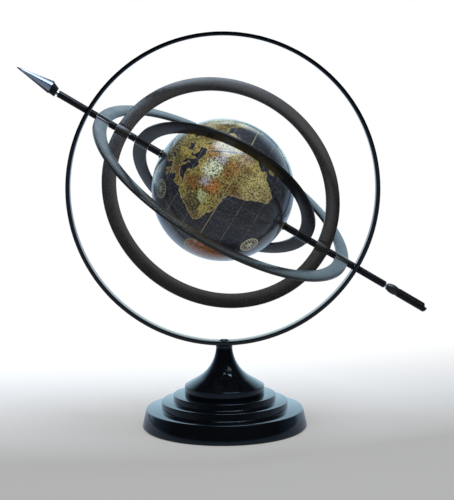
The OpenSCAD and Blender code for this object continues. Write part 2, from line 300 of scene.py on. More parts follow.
share = add(tree, "Math", {0: share.outputs[0], 1: front}, operation="MAXIMUM")
sweep = add(tree, "MixShader", {0: share.outputs[0], 1: matt.outputs[0], 2: glow.outputs[0]})
# For a camera at the back, the paper fades to white at its front end as well
FADE_FROM, FADE_FULL = -0.35, -1.1
ahead = add(tree, "MapRange", {"Value": place["Y"], "From Min": FADE_FROM, "From Max": FADE_FULL})
ahead = add(
    tree, "Math", {0: ahead.outputs["Result"], 1: rays["Is Camera Ray"]}, operation="MULTIPLY"
)
blank = add(tree, "Emission", {"Color": (1, 1, 1, 1), "Strength": 1})
sweep = add(tree, "MixShader", {0: ahead.outputs[0], 1: sweep.outputs[0], 2: blank.outputs[0]})
add(tree, "OutputMaterial", {"Surface": sweep.outputs[0]})
floor.data.materials.append(paper)
print("floor", floor.dimensions[:])

# %% [markdown]
# ## Black finishes
# The stand is cast aluminium under gloss lacquer. The rings wear a softer black enamel, and the
# arrow's bar a satin one. A sprayed finish is never quite flat: it has a faint ripple called orange
# peel, and dust and handling leave the gloss uneven. Those two and a slow drift of tone are all
# that separates lacquer from plain black, so one function makes each finish from its own numbers.


# %% Black lacquer and enamel
def black_finish(name, dark, pale, tint, gloss, peel_mm, peel_depth_mm):
    """Sprayed black: two close tones, mirror tint, lowest and highest roughness, and its ripple."""
    made, tree = new_material(name)
    place = add(tree, "TexCoord", {}).outputs["Object"]
    drift = add(tree, "TexNoise", {"Vector": place, "Scale": 1 / (25 * MM), "Detail": 3})
    tone = add(
        tree,
        "Mix",
        {FACTOR: drift.outputs["Fac"], MIX_A: colour(dark), MIX_B: colour(pale)},
        data_type="RGBA",
    )
    smear = add(
        tree, "TexNoise", {"Vector": place, "Scale": 1 / (9 * MM), "Detail": 5, "Roughness": 0.7}
    )
    least, most = gloss
    rough = add(
        tree,
        "MapRange",
        {
            "Value": smear.outputs["Fac"],
            "From Min": 0.3,
            "From Max": 0.7,
            "To Min": least,
            "To Max": most,
        },
    )
    peel = add(tree, "TexNoise", {"Vector": place, "Scale": 1 / (peel_mm * MM), "Detail": 1})
    bump = add(
        tree,
        "Bump",
        {"Height": peel.outputs["Fac"], "Strength": 1, "Distance": peel_depth_mm * MM},
    )
    skin = add(
        tree,
        "BsdfPrincipled",
        {
            "Base Color": tone.outputs[MIXED],
            "Roughness": rough.outputs["Result"],
            "Normal": bump.outputs["Normal"],
            "IOR": 1.52,
            "Specular Tint": colour(tint),
        },
    )
    add(tree, "OutputMaterial", {"Surface": skin.outputs[0]})
    return made


# Gloss polyester lacquer on the castings: deep blue-black with clear mirror images
stand_lacquer = black_finish(
    "gloss_black_lacquer", "050608", "0a0c10", "c6dcf4", (0.06, 0.13), 4, 0.003
)
# Softer stoved enamel on the flat rings: a broad grey sheen instead of images
ring_enamel = black_finish(
    "stoved_black_enamel", "191716", "221f1d", "e4eaf2", (0.2, 0.3), 3, 0.002
)
# Satin black on the arrow's bar, which hardly shines at all
arrow_enamel = black_finish(
    "satin_black_enamel", "050506", "0b0b0d", "b8b8c4", (0.38, 0.5), 2.5, 0.003
)
# The inner ring gets a darker copy of the ring enamel, which mirrors less: painted shade
shaded_ring_enamel = black_finish(
    "shaded_black_enamel", "100f0e", "181615", "787c82", (0.2, 0.3), 3, 0.002
)
print("finishes:", stand_lacquer.name, ring_enamel.name, arrow_enamel.name, shaded_ring_enamel.name)

# %% [markdown]
# ## Bright steel
# The spindle, the bolt and its washer are plated steel. Drawn and turned steel has fine lines along
# or round it, which stretch its highlights. They are far too fine to see here, so they are drawn
# coarser, as a stretched noise in the roughness and in the bump.

# %% Plated steel
plated_steel, tree = new_material("bright_plated_steel")
place = add(tree, "TexCoord", {}).outputs["Object"]
drawn = add(tree, "Mapping", {"Vector": place, "Scale": (1, 1, 8)})
lines = add(tree, "TexNoise", {"Vector": drawn.outputs[0], "Scale": 1 / (1.2 * MM), "Detail": 4})
tone = add(
    tree,
    "Mix",
    {FACTOR: lines.outputs["Fac"], MIX_A: colour("a9adb3"), MIX_B: colour("d3d6da")},
    data_type="RGBA",
)
rough = add(tree, "MapRange", {"Value": lines.outputs["Fac"], "To Min": 0.18, "To Max": 0.38})
scratch = add(
    tree, "Bump", {"Height": lines.outputs["Fac"], "Strength": 0.3, "Distance": 0.01 * MM}
)
steel = add(
    tree,
    "BsdfPrincipled",
    {
        "Base Color": tone.outputs[MIXED],
        "Metallic": 1,
        "Roughness": rough.outputs["Result"],
        "Normal": scratch.outputs["Normal"],
    },
)
add(tree, "OutputMaterial", {"Surface": steel.outputs[0]})

for name in ("spindle", "base_bolt", "base_washer"):
    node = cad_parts[name]
    node.data.materials.clear()
    node.data.materials.append(plated_steel)
print("plated:", plated_steel.name)

# %% [markdown]
# ## Black nickel
# The hoop's strip is plated with black nickel. It looks black where it mirrors the dark side of the
# room, and nearly vanishes where its inner face mirrors the white paper at a low angle, which
# lacquer can't do as strongly. Fine rolling marks vary its gloss.

# %% Black nickel
black_nickel, tree = new_material("black_nickel_plate")
place = add(tree, "TexCoord", {}).outputs["Object"]
marks = add(
    tree, "TexNoise", {"Vector": place, "Scale": 1 / (3 * MM), "Detail": 5, "Roughness": 0.6}
)
tone = add(
    tree,
    "Mix",
    {FACTOR: marks.outputs["Fac"], MIX_A: colour("303236"), MIX_B: colour("46484c")},
    data_type="RGBA",
)
rough = add(tree, "MapRange", {"Value": marks.outputs["Fac"], "To Min": 0.05, "To Max": 0.16})
plate = add(
    tree,
    "BsdfPrincipled",
    {
        "Base Color": tone.outputs[MIXED],
        "Metallic": 1,
        "Roughness": rough.outputs["Result"],
        "Specular Tint": colour("fff0e6"),
    },
)
add(tree, "OutputMaterial", {"Surface": plate.outputs[0]})
print("hoop:", black_nickel.name)

# %% [markdown]
# ## The lathe
# Foot, column, hoop, rings, sleeves and bushes were all turned or rolled, so all are round about
# one axis. A cylinder could be cut and scaled ring by ring, but it is closer to the workshop to
# draw half of the section, point by point, and spin it: a plane is merged to one point, the point
# is moved to the start and extruded along the section, and the line is spun about Z. Sharp rims
# then get a real rounding from a Bevel modifier, which is what catches the light on black.


# %% Modelling helpers
def only(piece):
    """Selects one piece and makes it the active one."""
    bpy.ops.object.select_all(action="DESELECT")
    piece.select_set(True)
    bpy.context.view_layer.objects.active = piece


def apply_modifier(piece, kind, **settings):
    """Adds a modifier with its settings to a piece and applies it."""
    only(piece)
    modifier = piece.modifiers.new(kind.lower(), kind)
    for name, value in settings.items():
        setattr(modifier, name, value)
    bpy.ops.object.modifier_apply(modifier=modifier.name)


SAME_PLACE = 0.001 * MM


def merge_corners():
    """Merges corners that lie on top of each other in the mesh being edited."""
    bpy.ops.mesh.select_all(action="SELECT")
    bpy.ops.mesh.remove_doubles(threshold=SAME_PLACE)


def turn(name, section, closed=True, steps=192):
    """Spins a section of (radius, height) points in mm about the Z axis."""
    bpy.ops.object.select_all(action="DESELECT")
    bpy.ops.mesh.primitive_plane_add(size=MM)
    piece = bpy.context.object
    piece.name = piece.data.name = name
    bpy.ops.object.mode_set(mode="EDIT")
    bpy.ops.mesh.select_mode(type="VERT")
    bpy.ops.mesh.merge(type="CENTER")
    (x, z), *rest = section + section[:1] if closed else section
    bpy.ops.transform.translate(value=(x * MM, 0, z * MM))
    for nx, nz in rest:
        step = {"value": ((nx - x) * MM, 0, (nz - z) * MM)}
        bpy.ops.mesh.extrude_region_move(TRANSFORM_OT_translate=step)
        x, z = nx, nz
    merge_corners()
    bpy.ops.mesh.spin(steps=steps, angle=2 * math.pi, center=(0, 0, 0), axis=(0, 0, 1))
    merge_corners()
    bpy.ops.mesh.normals_make_consistent(inside=False)
    bpy.ops.object.mode_set(mode="OBJECT")
    return piece


def round_rims(piece, width_mm, segments=3):
    """Rounds every edge that turns by more than 30 degrees."""
    apply_modifier(
        piece,
        "BEVEL",
        width=width_mm * MM,
        segments=segments,
        limit_method="ANGLE",
        angle_limit=math.radians(30),
    )


def combine(piece, tool, operation):
    """Cuts a piece with a tool, or joins the tool to it, and puts the tool away."""
    apply_modifier(piece, "BOOLEAN", object=tool, operation=operation, solver="EXACT")
    bpy.data.objects.remove(tool)
    # A cut can leave corners on top of each other
    bpy.ops.object.mode_set(mode="EDIT")
    merge_corners()
    bpy.ops.object.mode_set(mode="OBJECT")


def rod(radius_mm, start, end, corners=64):
    """A plain bar between two points in mm, as a tool for drilling or a boss to be joined."""
    along = (Vector(end) - Vector(start)) * MM
    bpy.ops.object.select_all(action="DESELECT")
    bpy.ops.mesh.primitive_cylinder_add(
        vertices=corners,
        radius=radius_mm * MM,
        depth=along.length,
        location=(Vector(start) + Vector(end)) / 2 * MM,
        rotation=along.to_track_quat("Z", "Y").to_euler(),
    )
    return bpy.context.object


def box(low, high):
    """A plain block between two corners in mm, as a cutting tool."""
    bpy.ops.object.select_all(action="DESELECT")
    bpy.ops.mesh.primitive_cube_add(size=1, location=(Vector(low) + Vector(high)) / 2 * MM)
    block = bpy.context.object
    block.scale = (Vector(high) - Vector(low)) * MM
    bpy.ops.object.transform_apply(location=True, rotation=True, scale=True)
    return block


def place_at(piece, matrix):
    """Puts a piece in its place and leaves that place in its mesh."""
    only(piece)
    piece.matrix_world = matrix
    bpy.ops.object.transform_apply(location=True, rotation=True, scale=True)


def hand_over(piece, node, body, finish):
    """Smooths a piece, gives it its finish, and puts it in the place of a CAD node."""
    only(piece)
    bpy.ops.object.shade_smooth_by_angle(angle=math.radians(30))
    piece.data.materials.clear()
    piece.data.materials.append(finish)
    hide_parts(node)
    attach(piece, body)
    low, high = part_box(node)
    corners = np.array([v.co for v in piece.data.vertices])
    off = max(np.abs(corners.min(0) - low).max(), np.abs(corners.max(0) - high).max()) / MM
    print(f"{piece.name}: {len(piece.data.polygons)} faces, off the CAD box by {off:.2f} mm")


print("lathe ready")

# %% [markdown]
# ## Foot
# The foot is a solid casting, turned to a broad base and two steps, with a socket on top for the
# column and a counterbore below for the bolt. Its section is drawn with plain corners. One bevel
# rounds the rims and fills the inner corners, as a caster's fillets do.

# %% Foot
FELT_TOP, FOOT_TOP, LOWER_STEP, UPPER_STEP = 1.2, 17.2, 24.2, 30.2
SOCKET_R, SOCKET_FLOOR = 24, 28.2
FOOT_R, SHOULDER_R, LOWER_R, UPPER_R = 74.7, 71, 57.2, 46.4
BOLT_HOLE_R, COUNTERBORE_R, COUNTERBORE_TOP = 4.2, 10.2, 8.1
foot = turn(
    "turned_foot",
    [
        (COUNTERBORE_R, FELT_TOP), (FOOT_R, FELT_TOP), (SHOULDER_R, FOOT_TOP),
        (LOWER_R, FOOT_TOP), (LOWER_R, LOWER_STEP), (UPPER_R, LOWER_STEP), (UPPER_R, UPPER_STEP),
        (SOCKET_R, UPPER_STEP), (SOCKET_R, SOCKET_FLOOR), (BOLT_HOLE_R, SOCKET_FLOOR),
        (BOLT_HOLE_R, COUNTERBORE_TOP), (COUNTERBORE_R, COUNTERBORE_TOP),
    ],
    steps=256,
)
round_rims(foot, 0.8)
hand_over(foot, "foot", "stand", stand_lacquer)

# %% [markdown]
# ## Column
# The column is a bell with a straight skirt that sweeps up into a slim neck. A few scaled rings
# would show as bands in the gloss, so the sweep is a true arc, tangent to the skirt below and
# upright at the neck, with a point every few degrees.

# %% Column
NECK_R, SADDLE_TOP, COLUMN_TOP, BELL_RIM = 7.2, 75.2, 72.2, 38.2
ARC_R, SKIRT_ANGLE = 34.97, 32
BELL_R, SPIGOT_R = 36, 23.95
BOLT_R, BOLT_HOLE_TOP, SCREW_R, SCREW_HOLE_FLOOR = 4, 48.2, 2, 60.2
ARC_END = math.degrees(math.asin((SADDLE_TOP - COLUMN_TOP) / ARC_R))
sweep_angles = np.linspace(90 - SKIRT_ANGLE, ARC_END, 28)
sweep_arc = [
    (
        NECK_R + ARC_R * (1 - math.cos(math.radians(a))),
        SADDLE_TOP - ARC_R * math.sin(math.radians(a)),
    )
    for a in sweep_angles
]
column = turn(
    "bell_column",
    [
        (0, BOLT_HOLE_TOP), (BOLT_R, BOLT_HOLE_TOP), (BOLT_R, SOCKET_FLOOR),
        (SPIGOT_R, SOCKET_FLOOR), (SPIGOT_R, UPPER_STEP), (BELL_R, UPPER_STEP), (BELL_R, BELL_RIM),
        *sweep_arc,
        (SCREW_R, COLUMN_TOP), (SCREW_R, SCREW_HOLE_FLOOR), (0, SCREW_HOLE_FLOOR),
    ],
    closed=False,
    steps=256,
)
round_rims(column, 0.5)
hand_over(column, "column", "stand", stand_lacquer)

# %% [markdown]
# ## Felt
# A disc of felt under the foot keeps it from scratching the table. It is a filled circle, extruded
# to its thickness, with its rim rounded over. Felt is pressed wool with no weave, so its surface is
# a dense tangle: one noise of fibre size, in the colour and in the bump.

# %% Felt
FELT_R = 73.2
bpy.ops.object.select_all(action="DESELECT")
bpy.ops.mesh.primitive_circle_add(vertices=192, radius=FELT_R * MM, fill_type="NGON")
felt = bpy.context.object
felt.name = felt.data.name = "felt_disc"
bpy.ops.object.mode_set(mode="EDIT")
bpy.ops.mesh.select_all(action="SELECT")
bpy.ops.mesh.extrude_region_move(TRANSFORM_OT_translate={"value": (0, 0, FELT_TOP * MM)})
bpy.ops.mesh.select_all(action="SELECT")
bpy.ops.mesh.normals_make_consistent(inside=False)
bpy.ops.object.mode_set(mode="OBJECT")
round_rims(felt, 0.35)

wool, tree = new_material("pressed_wool_felt")
place = add(tree, "TexCoord", {}).outputs["Object"]
tangle = add(
    tree, "TexNoise", {"Vector": place, "Scale": 1 / (0.8 * MM), "Detail": 6, "Distortion": 1.5}
)
tone = add(
    tree,
    "Mix",
    {FACTOR: tangle.outputs["Fac"], MIX_A: colour("0d0d0e"), MIX_B: colour("2a2a2c")},
    data_type="RGBA",
)
fibres = add(
    tree, "Bump", {"Height": tangle.outputs["Fac"], "Strength": 0.6, "Distance": 0.3 * MM}
)
nap = add(
    tree,
    "BsdfPrincipled",
    {
        "Base Color": tone.outputs[MIXED],
        "Roughness": 0.95,
        "Normal": fibres.outputs["Normal"],
        "Sheen Weight": 0.3,
    },
)
add(tree, "OutputMaterial", {"Surface": nap.outputs[0]})
hand_over(felt, "felt_pad", "stand", wool)

# %% [markdown]
# ## The arrow's frame
# Everything that turns is threaded on the arrow, which leans to the left. It is far easier to model
# those pieces upright and lay them down at the end, so this matrix turns a piece's own Z axis along
# the arrow, towards its head. A second one looks along the tail.

# %% Arrow frame
ARROW_TILT = math.radians(30.9)
HEADING = Vector((-math.cos(ARROW_TILT), 0, math.sin(ARROW_TILT)))
ARROW = Matrix.Translation(GLOBE_CENTRE) @ Matrix.Rotation(ARROW_TILT - math.pi / 2, 4, "Y")
TAILWARD = ARROW @ Matrix.Rotation(math.pi, 4, "X")
SPINDLE_R, RUNNING_R = 2, 2.05
print("the arrow points along", [round(x, 3) for x in ARROW.to_3x3().col[2]])

# %% [markdown]
# ## Hoop and saddle
# The hoop is a flat steel strip, rolled and welded to a circle, drilled for the spindle and for one
# screw. It is turned lying flat, stood up, and drilled with Boolean cuts. The little saddle under
# it is a turned collar whose top is cut to the hoop's own curve, so that the two meet without a
# gap.

# %% Hoop and saddle
HOOP_INNER, HOOP_OUTER, HOOP_HALF_W = 136.4, 140, 6
HOOP_Z = GLOBE_CENTRE.z / MM
hoop = turn(
    "rolled_hoop",
    [
        (HOOP_INNER, -HOOP_HALF_W), (HOOP_OUTER, -HOOP_HALF_W),
        (HOOP_OUTER, HOOP_HALF_W), (HOOP_INNER, HOOP_HALF_W),
    ],
    steps=360,
)
round_rims(hoop, 0.35)
place_at(hoop, Matrix.Translation(GLOBE_CENTRE) @ Matrix.Rotation(math.pi / 2, 4, "X"))
reach = HEADING * (HOOP_OUTER + 5)
hoop_middle = Vector((0, 0, HOOP_Z))
combine(hoop, rod(RUNNING_R, hoop_middle - reach, hoop_middle + reach), "DIFFERENCE")
SCREW_PASS_R = 2.2
combine(hoop, rod(SCREW_PASS_R, (0, 0, SADDLE_TOP - 5), (0, 0, SADDLE_TOP + 10)), "DIFFERENCE")
hand_over(hoop, "hoop", "stand", black_nickel)

SADDLE_R, SADDLE_STOCK = 7.5, 76.7
saddle = turn(
    "turned_saddle",
    [
        (SCREW_PASS_R, COLUMN_TOP), (SADDLE_R, COLUMN_TOP),
        (SADDLE_R, SADDLE_STOCK), (SCREW_PASS_R, SADDLE_STOCK),
    ],
)
round_rims(saddle, 0.4)
combine(saddle, rod(HOOP_OUTER, (0, -20, HOOP_Z), (0, 20, HOOP_Z), corners=720), "DIFFERENCE")
hand_over(saddle, "saddle", "stand", stand_lacquer)

# %% [markdown]
# ## Hoop screw
# One slotted screw with a wide, low dome pulls the hoop and the saddle onto the column. The dome is
# an arc in the turned section, and the driver's slot is a Boolean cut from front to back.

# %% Hoop screw
SCREW_SEAT, SCREW_END, HEAD_R, HEAD_H = 78.892, 62.2, 5, 1.5
SLOT_HALF_W, SLOT_DEPTH = 0.8, 0.9
DOME_R = (HEAD_R**2 + HEAD_H**2) / (2 * HEAD_H)
dome_rise = np.linspace(math.asin(HEAD_R / DOME_R), 0, 14)
dome = [
    (DOME_R * math.sin(a), SCREW_SEAT + HEAD_H - DOME_R * (1 - math.cos(a))) for a in dome_rise
]
screw = turn(
    "dome_screw",
    [(0, SCREW_END), (SCREW_R, SCREW_END), (SCREW_R, SCREW_SEAT), *dome],
    closed=False,
    steps=96,
)
round_rims(screw, 0.2)
slot_floor = SCREW_SEAT + HEAD_H - SLOT_DEPTH
slot = box((-SLOT_HALF_W, -HEAD_R - 1, slot_floor), (SLOT_HALF_W, HEAD_R + 1, slot_floor + 2))
combine(screw, slot, "DIFFERENCE")
hand_over(screw, "hoop_screw", "stand", arrow_enamel)

# %% [markdown]
# ## Rings
# The three rings are flat castings that swell to a drilled boss at each end of one diameter. They
# differ only in size, in finish and in how far each is turned about the arrow, so one function
# makes all three: the washer is turned, two bars squeezed to an oval are joined on with a Boolean
# union, and one long drill goes through both.

# %% Rings
RING_HALF_W, RING_HALF_T, BOSS_HALF_W, BOSS_HALF_T = 6.4, 1.3, 6.3, 3.3
# The middle radius of each ring, from the globe outwards
INNER_MID, MIDDLE_MID, OUTER_MID = 83, 103.1, 123.2


def flat_ring(name, node, middle, angle, finish):
    """Turns a ring, joins and drills its bosses, and lays it at its angle about the arrow."""
    inner, outer = middle - RING_HALF_W, middle + RING_HALF_W
    ring = turn(
        name,
        [(inner, -RING_HALF_T), (outer, -RING_HALF_T), (outer, RING_HALF_T), (inner, RING_HALF_T)],
        steps=288,
    )
    round_rims(ring, 0.45)
    for side in (-1, 1):
        boss = rod(BOSS_HALF_T, (0, side * inner, 0), (0, side * outer, 0), corners=96)
        place_at(boss, Matrix.Diagonal((BOSS_HALF_W / BOSS_HALF_T, 1, 1, 1)) @ boss.matrix_world)
        round_rims(boss, 0.4)
        combine(ring, boss, "UNION")
    combine(ring, rod(RUNNING_R, (0, -outer - 5, 0), (0, outer + 5, 0)), "DIFFERENCE")
    about_arrow = Matrix.Rotation(math.radians(angle), 4, "Z")
    place_at(ring, ARROW @ about_arrow @ Matrix.Rotation(math.pi / 2, 4, "X"))
    hand_over(ring, node, node, finish)


flat_ring("inner_flat_ring", "inner_ring", INNER_MID, -56.6, shaded_ring_enamel)
flat_ring("middle_flat_ring", "middle_ring", MIDDLE_MID, 29.6, ring_enamel)
flat_ring("outer_flat_ring", "outer_ring", OUTER_MID, 73.9, ring_enamel)

# %% [markdown]
# ## Sleeves and spacers
# Short tubes on the spindle keep the hoop, the rings and the globe apart. Each is a turned tube
# with its ends broken by a small rounding, made at the head end and again at the tail end.

# %% Sleeves and spacers
SLEEVE_R, SLEEVE_END, END_GAP, BUSH_END = 3.2, 168.8, 0.3, 64.5
tubes = {
    "sleeve": (HOOP_OUTER + END_GAP, SLEEVE_END),
    "hoop_spacer": (OUTER_MID + RING_HALF_W + END_GAP, HOOP_INNER - END_GAP),
    "outer_spacer": (MIDDLE_MID + RING_HALF_W + END_GAP, OUTER_MID - RING_HALF_W - END_GAP),
    "inner_spacer": (INNER_MID + RING_HALF_W + END_GAP, MIDDLE_MID - RING_HALF_W - END_GAP),
    "globe_spacer": (BUSH_END + END_GAP, INNER_MID - RING_HALF_W - END_GAP),
}
for kind, (start, end) in tubes.items():
    for end_name, matrix in (("head", ARROW), ("tail", TAILWARD)):
        node = f"{end_name}_sleeve" if kind == "sleeve" else f"{kind}_{end_name}"
        tube = turn(
            f"{kind}_tube_{end_name}",
            [(SPINDLE_R, start), (SLEEVE_R, start), (SLEEVE_R, end), (SPINDLE_R, end)],
            steps=64,
        )
        round_rims(tube, 0.25)
        place_at(tube, matrix)
        hand_over(tube, node, "arrow", arrow_enamel)

# %% [markdown]
# ## Arrowhead
# The point is a long six-sided pyramid, ground flat on each side, behind which a round collar
# tapers back to the spindle. The point stands a little above the arrow's axis, so the collar's
# front is moved up with it. A six-sided cone gives the facets. Its edges get a bevel in per cent,
# which narrows with the facets towards the tip, because a bevel of one width would swallow the
# tip. Light and shade are painted onto the facets by how far each faces up: the top facet and
# those facing sideways, the viewer's among them, are bright steel, the upper slant is a darker
# steel as a painted shade band, and those below keep the collar's black enamel as painted shade.


# %% Ground steel
HEAD_START, POINT_START, POINT_LEN, POINT_R, TIP_R = 170.8, 176.8, 35, 6.4, 0.4


def ground_steel(name, dark, pale):
    """Steel ground along the arrow, between two tones."""
    made, tree = new_material(name)
    place = add(tree, "TexCoord", {}).outputs["Object"]
    lengthwise = add(
        tree,
        "Mapping",
        {"Vector": place, "Rotation": (0, ARROW_TILT - math.pi / 2, 0), "Scale": (1, 1, 12)},
        vector_type="TEXTURE",
    )
    grind = add(
        tree, "TexNoise", {"Vector": lengthwise.outputs[0], "Scale": 1 / (0.9 * MM), "Detail": 5}
    )
    tone = add(
        tree,
        "Mix",
        {FACTOR: grind.outputs["Fac"], MIX_A: colour(dark), MIX_B: colour(pale)},
        data_type="RGBA",
    )
    # The last 3 mm at the tip are black
    along = add(tree, "VectorMath", {0: place, 1: HEADING}, operation="DOT_PRODUCT")
    end = GLOBE_CENTRE.dot(HEADING) + (POINT_START + POINT_LEN) * MM
    tip = add(
        tree,
        "MapRange",
        {"Value": along.outputs["Value"], "From Min": end - 5 * MM, "From Max": end - 3 * MM},
    )
    tone = add(
        tree,
        "Mix",
        {FACTOR: tip.outputs["Result"], MIX_A: tone.outputs[MIXED], MIX_B: colour("16161a")},
        data_type="RGBA",
    )
    rough = add(tree, "MapRange", {"Value": grind.outputs["Fac"], "To Min": 0.1, "To Max": 0.26})
    lines = add(
        tree, "Bump", {"Height": grind.outputs["Fac"], "Strength": 0.3, "Distance": 0.02 * MM}
    )
    steel = add(
        tree,
        "BsdfPrincipled",
        {
            "Base Color": tone.outputs[MIXED],
            "Metallic": 1,
            "Roughness": rough.outputs["Result"],
            "Normal": lines.outputs["Normal"],
        },
    )
    add(tree, "OutputMaterial", {"Surface": steel.outputs[0]})
    return made


bright_ground = ground_steel("bright_ground_steel", "a4aab8", "dce0e8")
shade_ground = ground_steel("shade_ground_steel", "4e5462", "7c8290")
print("facets:", bright_ground.name, shade_ground.name)

# %% Arrowhead
# A cone starts with a corner at 90 degrees, so 30 is taken off the turn of its corners
POINT_TURN, POINT_RISE = 50, 1.6
COLLAR_BACK_R, COLLAR_R, COLLAR_FRONT, BORE_DEPTH = 4.3, 5.4, POINT_START + 1, 12
bpy.ops.object.select_all(action="DESELECT")
bpy.ops.mesh.primitive_cone_add(
    vertices=6,
    radius1=POINT_R * MM,
    radius2=TIP_R * MM,
    depth=POINT_LEN * MM,
    location=(POINT_RISE * MM, 0, (POINT_START + POINT_LEN / 2) * MM),
    rotation=(0, 0, math.radians(POINT_TURN - 30)),
)
point = bpy.context.object
point.name = point.data.name = "six_sided_point"
bpy.ops.object.transform_apply(location=True, rotation=True, scale=True)
bpy.ops.object.mode_set(mode="EDIT")
bpy.ops.mesh.select_mode(type="EDGE")
bpy.ops.mesh.select_all(action="DESELECT")
bpy.ops.object.mode_set(mode="OBJECT")
for edge in point.data.edges:
    a, b = (point.data.vertices[i].co.z for i in edge.vertices)
    edge.select = abs(a - b) > 1 * MM
bpy.ops.object.mode_set(mode="EDIT")
bpy.ops.mesh.bevel(offset_type="PERCENT", offset_pct=9, segments=3)
bpy.ops.object.mode_set(mode="OBJECT")
collar = turn(
    "collar",
    [
        (0, HEAD_START), (COLLAR_BACK_R, HEAD_START), (COLLAR_R, POINT_START),
        (COLLAR_BACK_R, COLLAR_FRONT), (0, COLLAR_FRONT),
    ],
    closed=False,
    steps=64,
)
bpy.ops.object.mode_set(mode="EDIT")
bpy.ops.mesh.select_all(action="DESELECT")
bpy.ops.object.mode_set(mode="OBJECT")
for corner in collar.data.vertices:
    corner.select = corner.co.z > (POINT_START - 0.1) * MM
bpy.ops.object.mode_set(mode="EDIT")
bpy.ops.transform.translate(value=(POINT_RISE * MM, 0, 0))
bpy.ops.object.mode_set(mode="OBJECT")
combine(point, collar, "UNION")
bore = (0, 0, HEAD_START - 1), (0, 0, HEAD_START + BORE_DEPTH)
combine(point, rod(SPINDLE_R, *bore), "DIFFERENCE")
place_at(point, ARROW)
hand_over(point, "arrowhead", "arrow", arrow_enamel)
point.data.materials.append(bright_ground)
point.data.materials.append(shade_ground)
# How far a facet's normal points up decides its finish, which paints light and shade onto it
LOWEST_STEEL, SHADE_FROM, SHADE_TO = -0.3, 0.3, 0.86
to_arrow = ARROW.inverted()
for face in point.data.polygons:
    along = (to_arrow @ face.center).z / MM
    upward = (to_arrow.to_3x3() @ face.normal).x
    steel_facet = along > POINT_START + 0.01 and upward > LOWEST_STEEL
    face.material_index = 0 if not steel_facet else 2 if SHADE_FROM < upward < SHADE_TO else 1
print("bare faces:", sum(f.material_index > 0 for f in point.data.polygons))

# %% [markdown]
# ## Tail
# The tail is a round bar behind a bead, which is given the rings' lighter enamel. Its end is split
# into a long and a short jaw with domed ends, and two grooves run along each side, one of them
# between the jaws. The bar is turned to the long jaw's length. A block with a round hollow in it
# then cuts half of the end back to the short jaw's dome, and the grooves and the bore are cut last.
# The grooves' floors are bare bright steel.

# %% Tail
TAIL_R, TAIL_DOME_R, SHORT_END, LONG_END = 3.9, 4.6, 210.2, 212.7
BEAD_FRONT, BEAD_SWELL, WAIST, BEAD_LEN = 2.8, 1.1, 3.5, 11.5
BEAD_END = HEAD_START + BEAD_LEN
GROOVE_W, GROOVE_FLOOR, GROOVES, TAIL_TURN = 1.4, TAIL_R - 0.7, (0, 180, -32, 148), 156
bead = [
    (
        BEAD_FRONT + (WAIST - BEAD_FRONT) * u + BEAD_SWELL * math.sin(math.pi * u),
        HEAD_START + BEAD_LEN * u,
    )
    for u in np.linspace(0, 1, 25)
]
turned_in = np.linspace(math.asin(TAIL_R / TAIL_DOME_R), 0, 10)
tail_dome = [
    (TAIL_DOME_R * math.sin(a), LONG_END - TAIL_DOME_R * (1 - math.cos(a))) for a in turned_in
]
tail = turn(
    "grooved_tail",
    [(0, HEAD_START), *bead, (TAIL_R, BEAD_END), *tail_dome],
    closed=False,
    steps=96,
)
waste = box((-5, -5, SHORT_END - 2), (0, 5, LONG_END + 1))
bpy.ops.mesh.primitive_uv_sphere_add(
    segments=96,
    ring_count=48,
    radius=TAIL_DOME_R * MM,
    location=(0, 0, (SHORT_END - TAIL_DOME_R) * MM),
)
combine(waste, bpy.context.object, "DIFFERENCE")
combine(tail, waste, "DIFFERENCE")
for degrees in GROOVES:
    groove = box((-GROOVE_W / 2, GROOVE_FLOOR, BEAD_END), (GROOVE_W / 2, TAIL_R + 2, LONG_END + 1))
    place_at(groove, Matrix.Rotation(math.radians(degrees), 4, "Z"))
    combine(tail, groove, "DIFFERENCE")
combine(tail, rod(SPINDLE_R, *bore), "DIFFERENCE")
laid_out = TAILWARD @ Matrix.Rotation(math.radians(TAIL_TURN), 4, "Z")
place_at(tail, laid_out)
hand_over(tail, "tail", "arrow", arrow_enamel)
# Besides the black enamel: bright steel for the grooves' floors, the rings' lighter enamel for the
# bead
tail.data.materials.append(bright_ground)
tail.data.materials.append(ring_enamel)
to_tail = laid_out.inverted()
outwards = [Matrix.Rotation(math.radians(d), 3, "Z") @ Vector((0, 1, 0)) for d in GROOVES]
for face in tail.data.polygons:
    middle, facing = to_tail @ face.center / MM, to_tail.to_3x3() @ face.normal
    floors = [abs(middle.dot(o) - GROOVE_FLOOR) < 0.01 and facing.dot(o) > 0.99 for o in outwards]
    face.material_index = 1 if any(floors) else 2 if middle.z < BEAD_END - 0.01 else 0
print("bright groove faces:", sum(f.material_index == 1 for f in tail.data.polygons))

# %% [markdown]
# ## The map
# Old globes carry a printed world map, pasted on in strips. A picture could be wrapped round a
# ball, but this map is made from a few hundred rough coast points, in whole degrees of longitude
# and latitude. For every point of the ball's skin, its distance from the nearest coast is worked
# out once and stored on the mesh: above zero on land, below zero at sea. The shader then draws
# coasts and colours from that one number.

